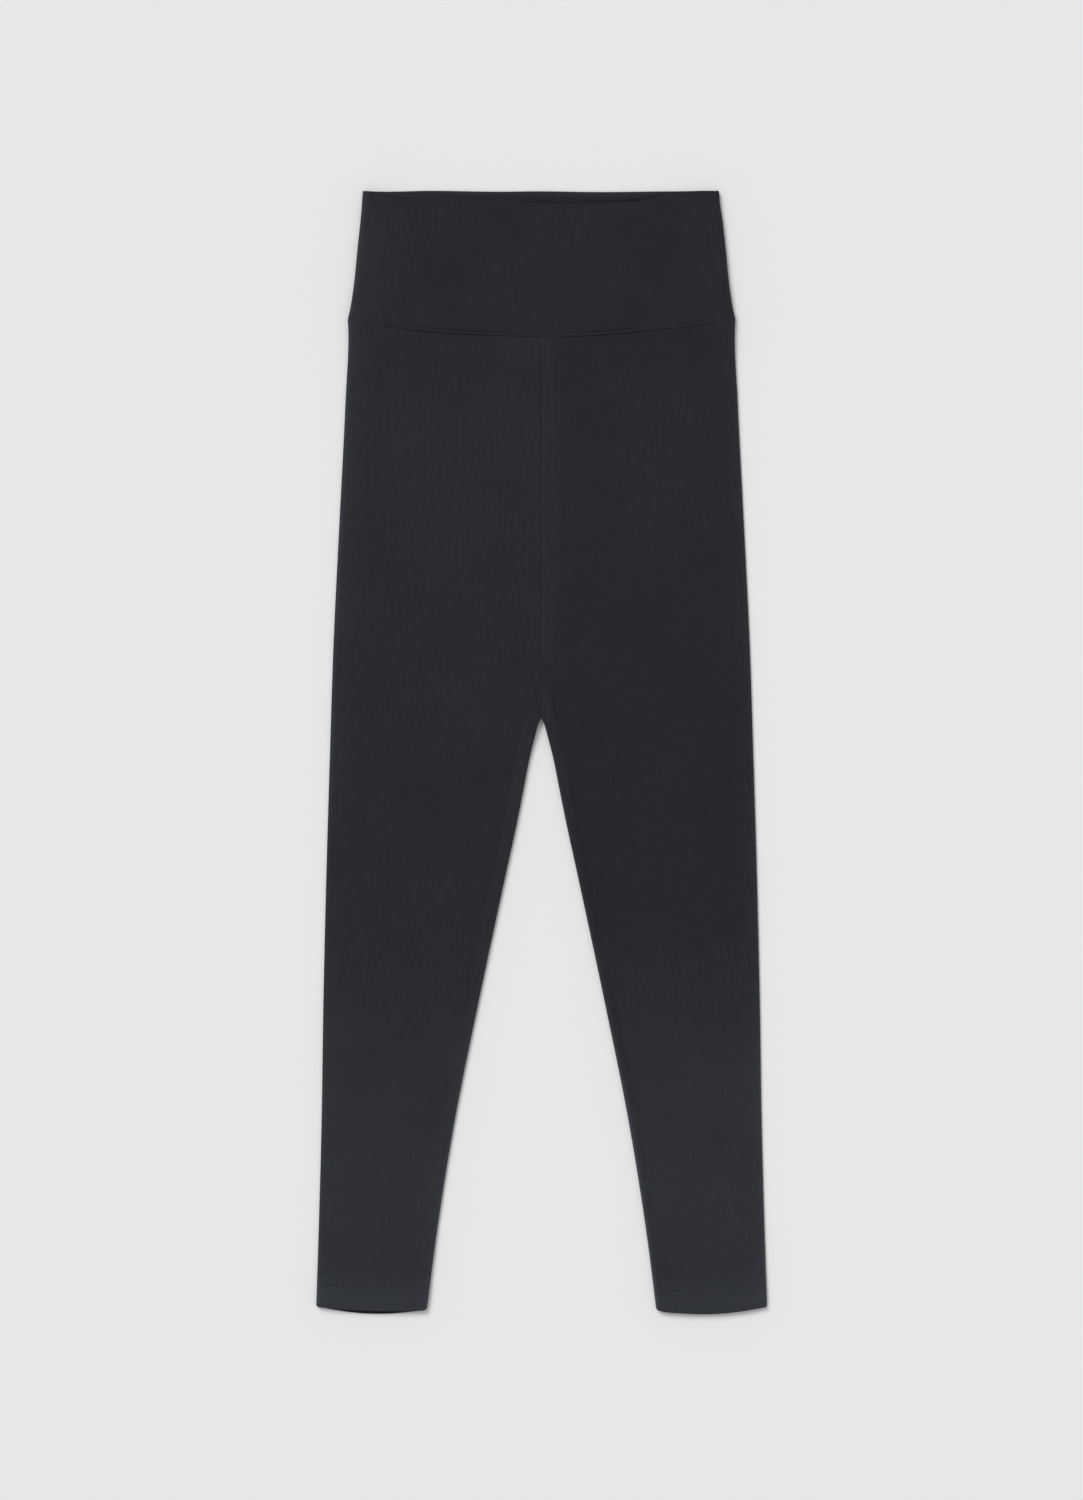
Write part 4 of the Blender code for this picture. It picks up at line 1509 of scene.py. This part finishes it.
def left_leg(outline: Outline) -> Leg:
    """The left leg: a soft inseam well inside its edge, and a hem lifted off its back."""
    return Leg(
        side=Side.LEFT,
        outline=outline,
        inseam=curve(
            (105, 8), (400, 8), (430, 10.5), (452, 12.2), (478, 11), (503, 11.6), (528, 10.5),
            (552, 10.6), (577, 11.6), (626, 10.6), (650, 9.2), (675, 7.6), (761, 6.5), (859, 6),
            (920, 5.5),
        ),
        inseam_depth=curve(
            (425, 0), (450, 0.05), (478, 0.1), (503, 0.16), (552, 0.16), (577, 0.12), (600, 0.06),
            (626, 0.1), (675, 0.05), (740, 0.02), (920, 0.02),
        ),
        inseam_tone=curve(
            (425, 0), (452, 0.01), (478, 0.04), (503, 0.08), (528, 0.11), (552, 0.08), (577, 0.08),
            (600, 0.02), (626, 0.07), (650, 0.08), (675, 0.04), (700, 0), (920, 0),
        ),
        inseam_reach=(1.0, 5.5),
        strip_rise=curve((425, 0), (460, 0.25), (600, 0.15), (680, 0.03), (920, 0.03)),
        rims=(
            PaintedRimLight(
                0.72, 1.8, 0.1, 8,
                curve((432, 0.6), (500, 0.65), (620, 1), (745, 1.25), (920, 1.25)),
            ),
            PaintedRimLight(
                0.56, 2.7, 0.2, 12,
                curve(
                    (105, 1), (340, 0.95), (500, 0.65), (620, 0.25), (745, 0.4), (840, 0.4),
                    (920, 0.7),
                ),
            ),
        ),
        tone=curve(
            (105, 1.1), (150, 1.14), (420, 1.08), (560, 1.08), (640, 1.15), (720, 1.31), (800, 1.4),
            (860, 1.43), (892, 1.48), (900, 1.66), (920, 1.74),
        ),
        hem_at_inner=917.0,
        hem_at_outer=914.6,
        hem_bow=4.2,
        hem_lift=2.5,
        creases=(
            Crease(-7.6, 397, -0.2, 433, 1.3, -0.55, -0.15),
            Crease(-2.1, 121, -2.1, 132.5, 0.5, 0.2, 0.25),
        ),
    )


def right_leg(outline: Outline) -> Leg:
    """The right leg: the centre seam's allowance under it, and a crisp inseam by its edge."""
    return Leg(
        side=Side.RIGHT,
        outline=outline,
        inseam=curve(
            (105, 12), (384, 12), (398, 2), (407, 5), (415, 8.3), (423, 10.6), (430, 11.8),
            (454, 10.5), (478, 10.9), (503, 9.4), (528, 9.4), (552, 8.6), (577, 8.4), (601, 7.8),
            (626, 7.6), (650, 8.4), (675, 8), (700, 7.8), (724, 8.4), (773, 8.4), (798, 7.8),
            (822, 7.4), (847, 6.1), (920, 5),
        ),
        inseam_depth=curve(
            (398, 0), (407, 0.06), (430, 0.1), (452, 0.05), (660, 0.06), (920, 0.05),
        ),
        inseam_tone=curve(
            (398, 0), (407, 0.05), (430, 0.08), (452, 0.03), (475, 0.03), (500, 0.09), (570, 0.09),
            (600, 0.13), (650, 0.09), (672, 0.19), (725, 0.18), (750, 0.15), (800, 0.13),
            (860, 0.08), (920, 0.07),
        ),
        inseam_reach=(4.5, 1.5),
        strip_rise=curve((394, 0), (408, 0.3), (480, 0.3), (560, 0.15), (700, 0.05), (920, 0.05)),
        rims=(
            PaintedRimLight(
                0.66, 1.6, 0.08, 5,
                curve((432, 0.6), (500, 0.7), (620, 1), (745, 1.4), (920, 1.4)),
            ),
            PaintedRimLight(0.62, 1.8, 0.16, 11),
        ),
        tone=curve(
            (105, 0.99), (150, 1.04), (420, 0.985), (560, 0.985), (640, 1.08), (720, 1.36),
            (800, 1.43), (860, 1.44), (892, 1.48), (900, 1.66), (920, 1.72),
        ),
        hem_at_inner=917.3,
        hem_at_outer=914.9,
        hem_bow=4.4,
        hem_lift=0.7,
        creases=(
            Crease(1, 386.5, 21, 384.5, 1, 0.22, 0.15),
            Crease(1.9, 132, 1.9, 405, 0.8, 0.1, 0.08),
            Crease(1.2, 338, 1.2, 388, 2, 0.05, 0.14),
            Crease(2.2, 392, 6.6, 452, 3, 0, 0.15),
        ),
        allowance_rise=0.35,
        allowance_tone=0.13,
    )


def main() -> None:
    """Build the garment, its stitches and the studio."""
    logging.basicConfig(level=logging.INFO, format="%(message)s")
    Studio(paper=SeamlessPaper("seamless_paper")).build()

    outline = Outline()
    legs = (left_leg(outline), right_leg(outline))
    leg_cloth = BrushedKnit("brushed_interlock").material()
    band_cloth = BrushedKnit("brushed_interlock_doubled", colour="#24262a", patch=55.0).material()
    thread = SewingThread("polyester_thread").material()
    stitches = Stitches()

    for leg in legs:
        rows = [leg.hem_path(above_edge) for above_edge in leg.hem_rows]
        hem = stitches.build(f"hem_stitches_{leg.side.name.lower()}", rows, thread)
        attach(hem, "root")
        piece = leg.build(leg_cloth)

    for layer in (Layer.BACK, Layer.FRONT):
        band = Waistband(layer=layer, outline=outline, legs=legs)
        seam = stitches.build(f"waist_stitches_{layer.value}", [band.stitch_path()], thread)
        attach(seam, "root")
        piece = band.build(band_cloth)


if __name__ == "__main__":
    main()
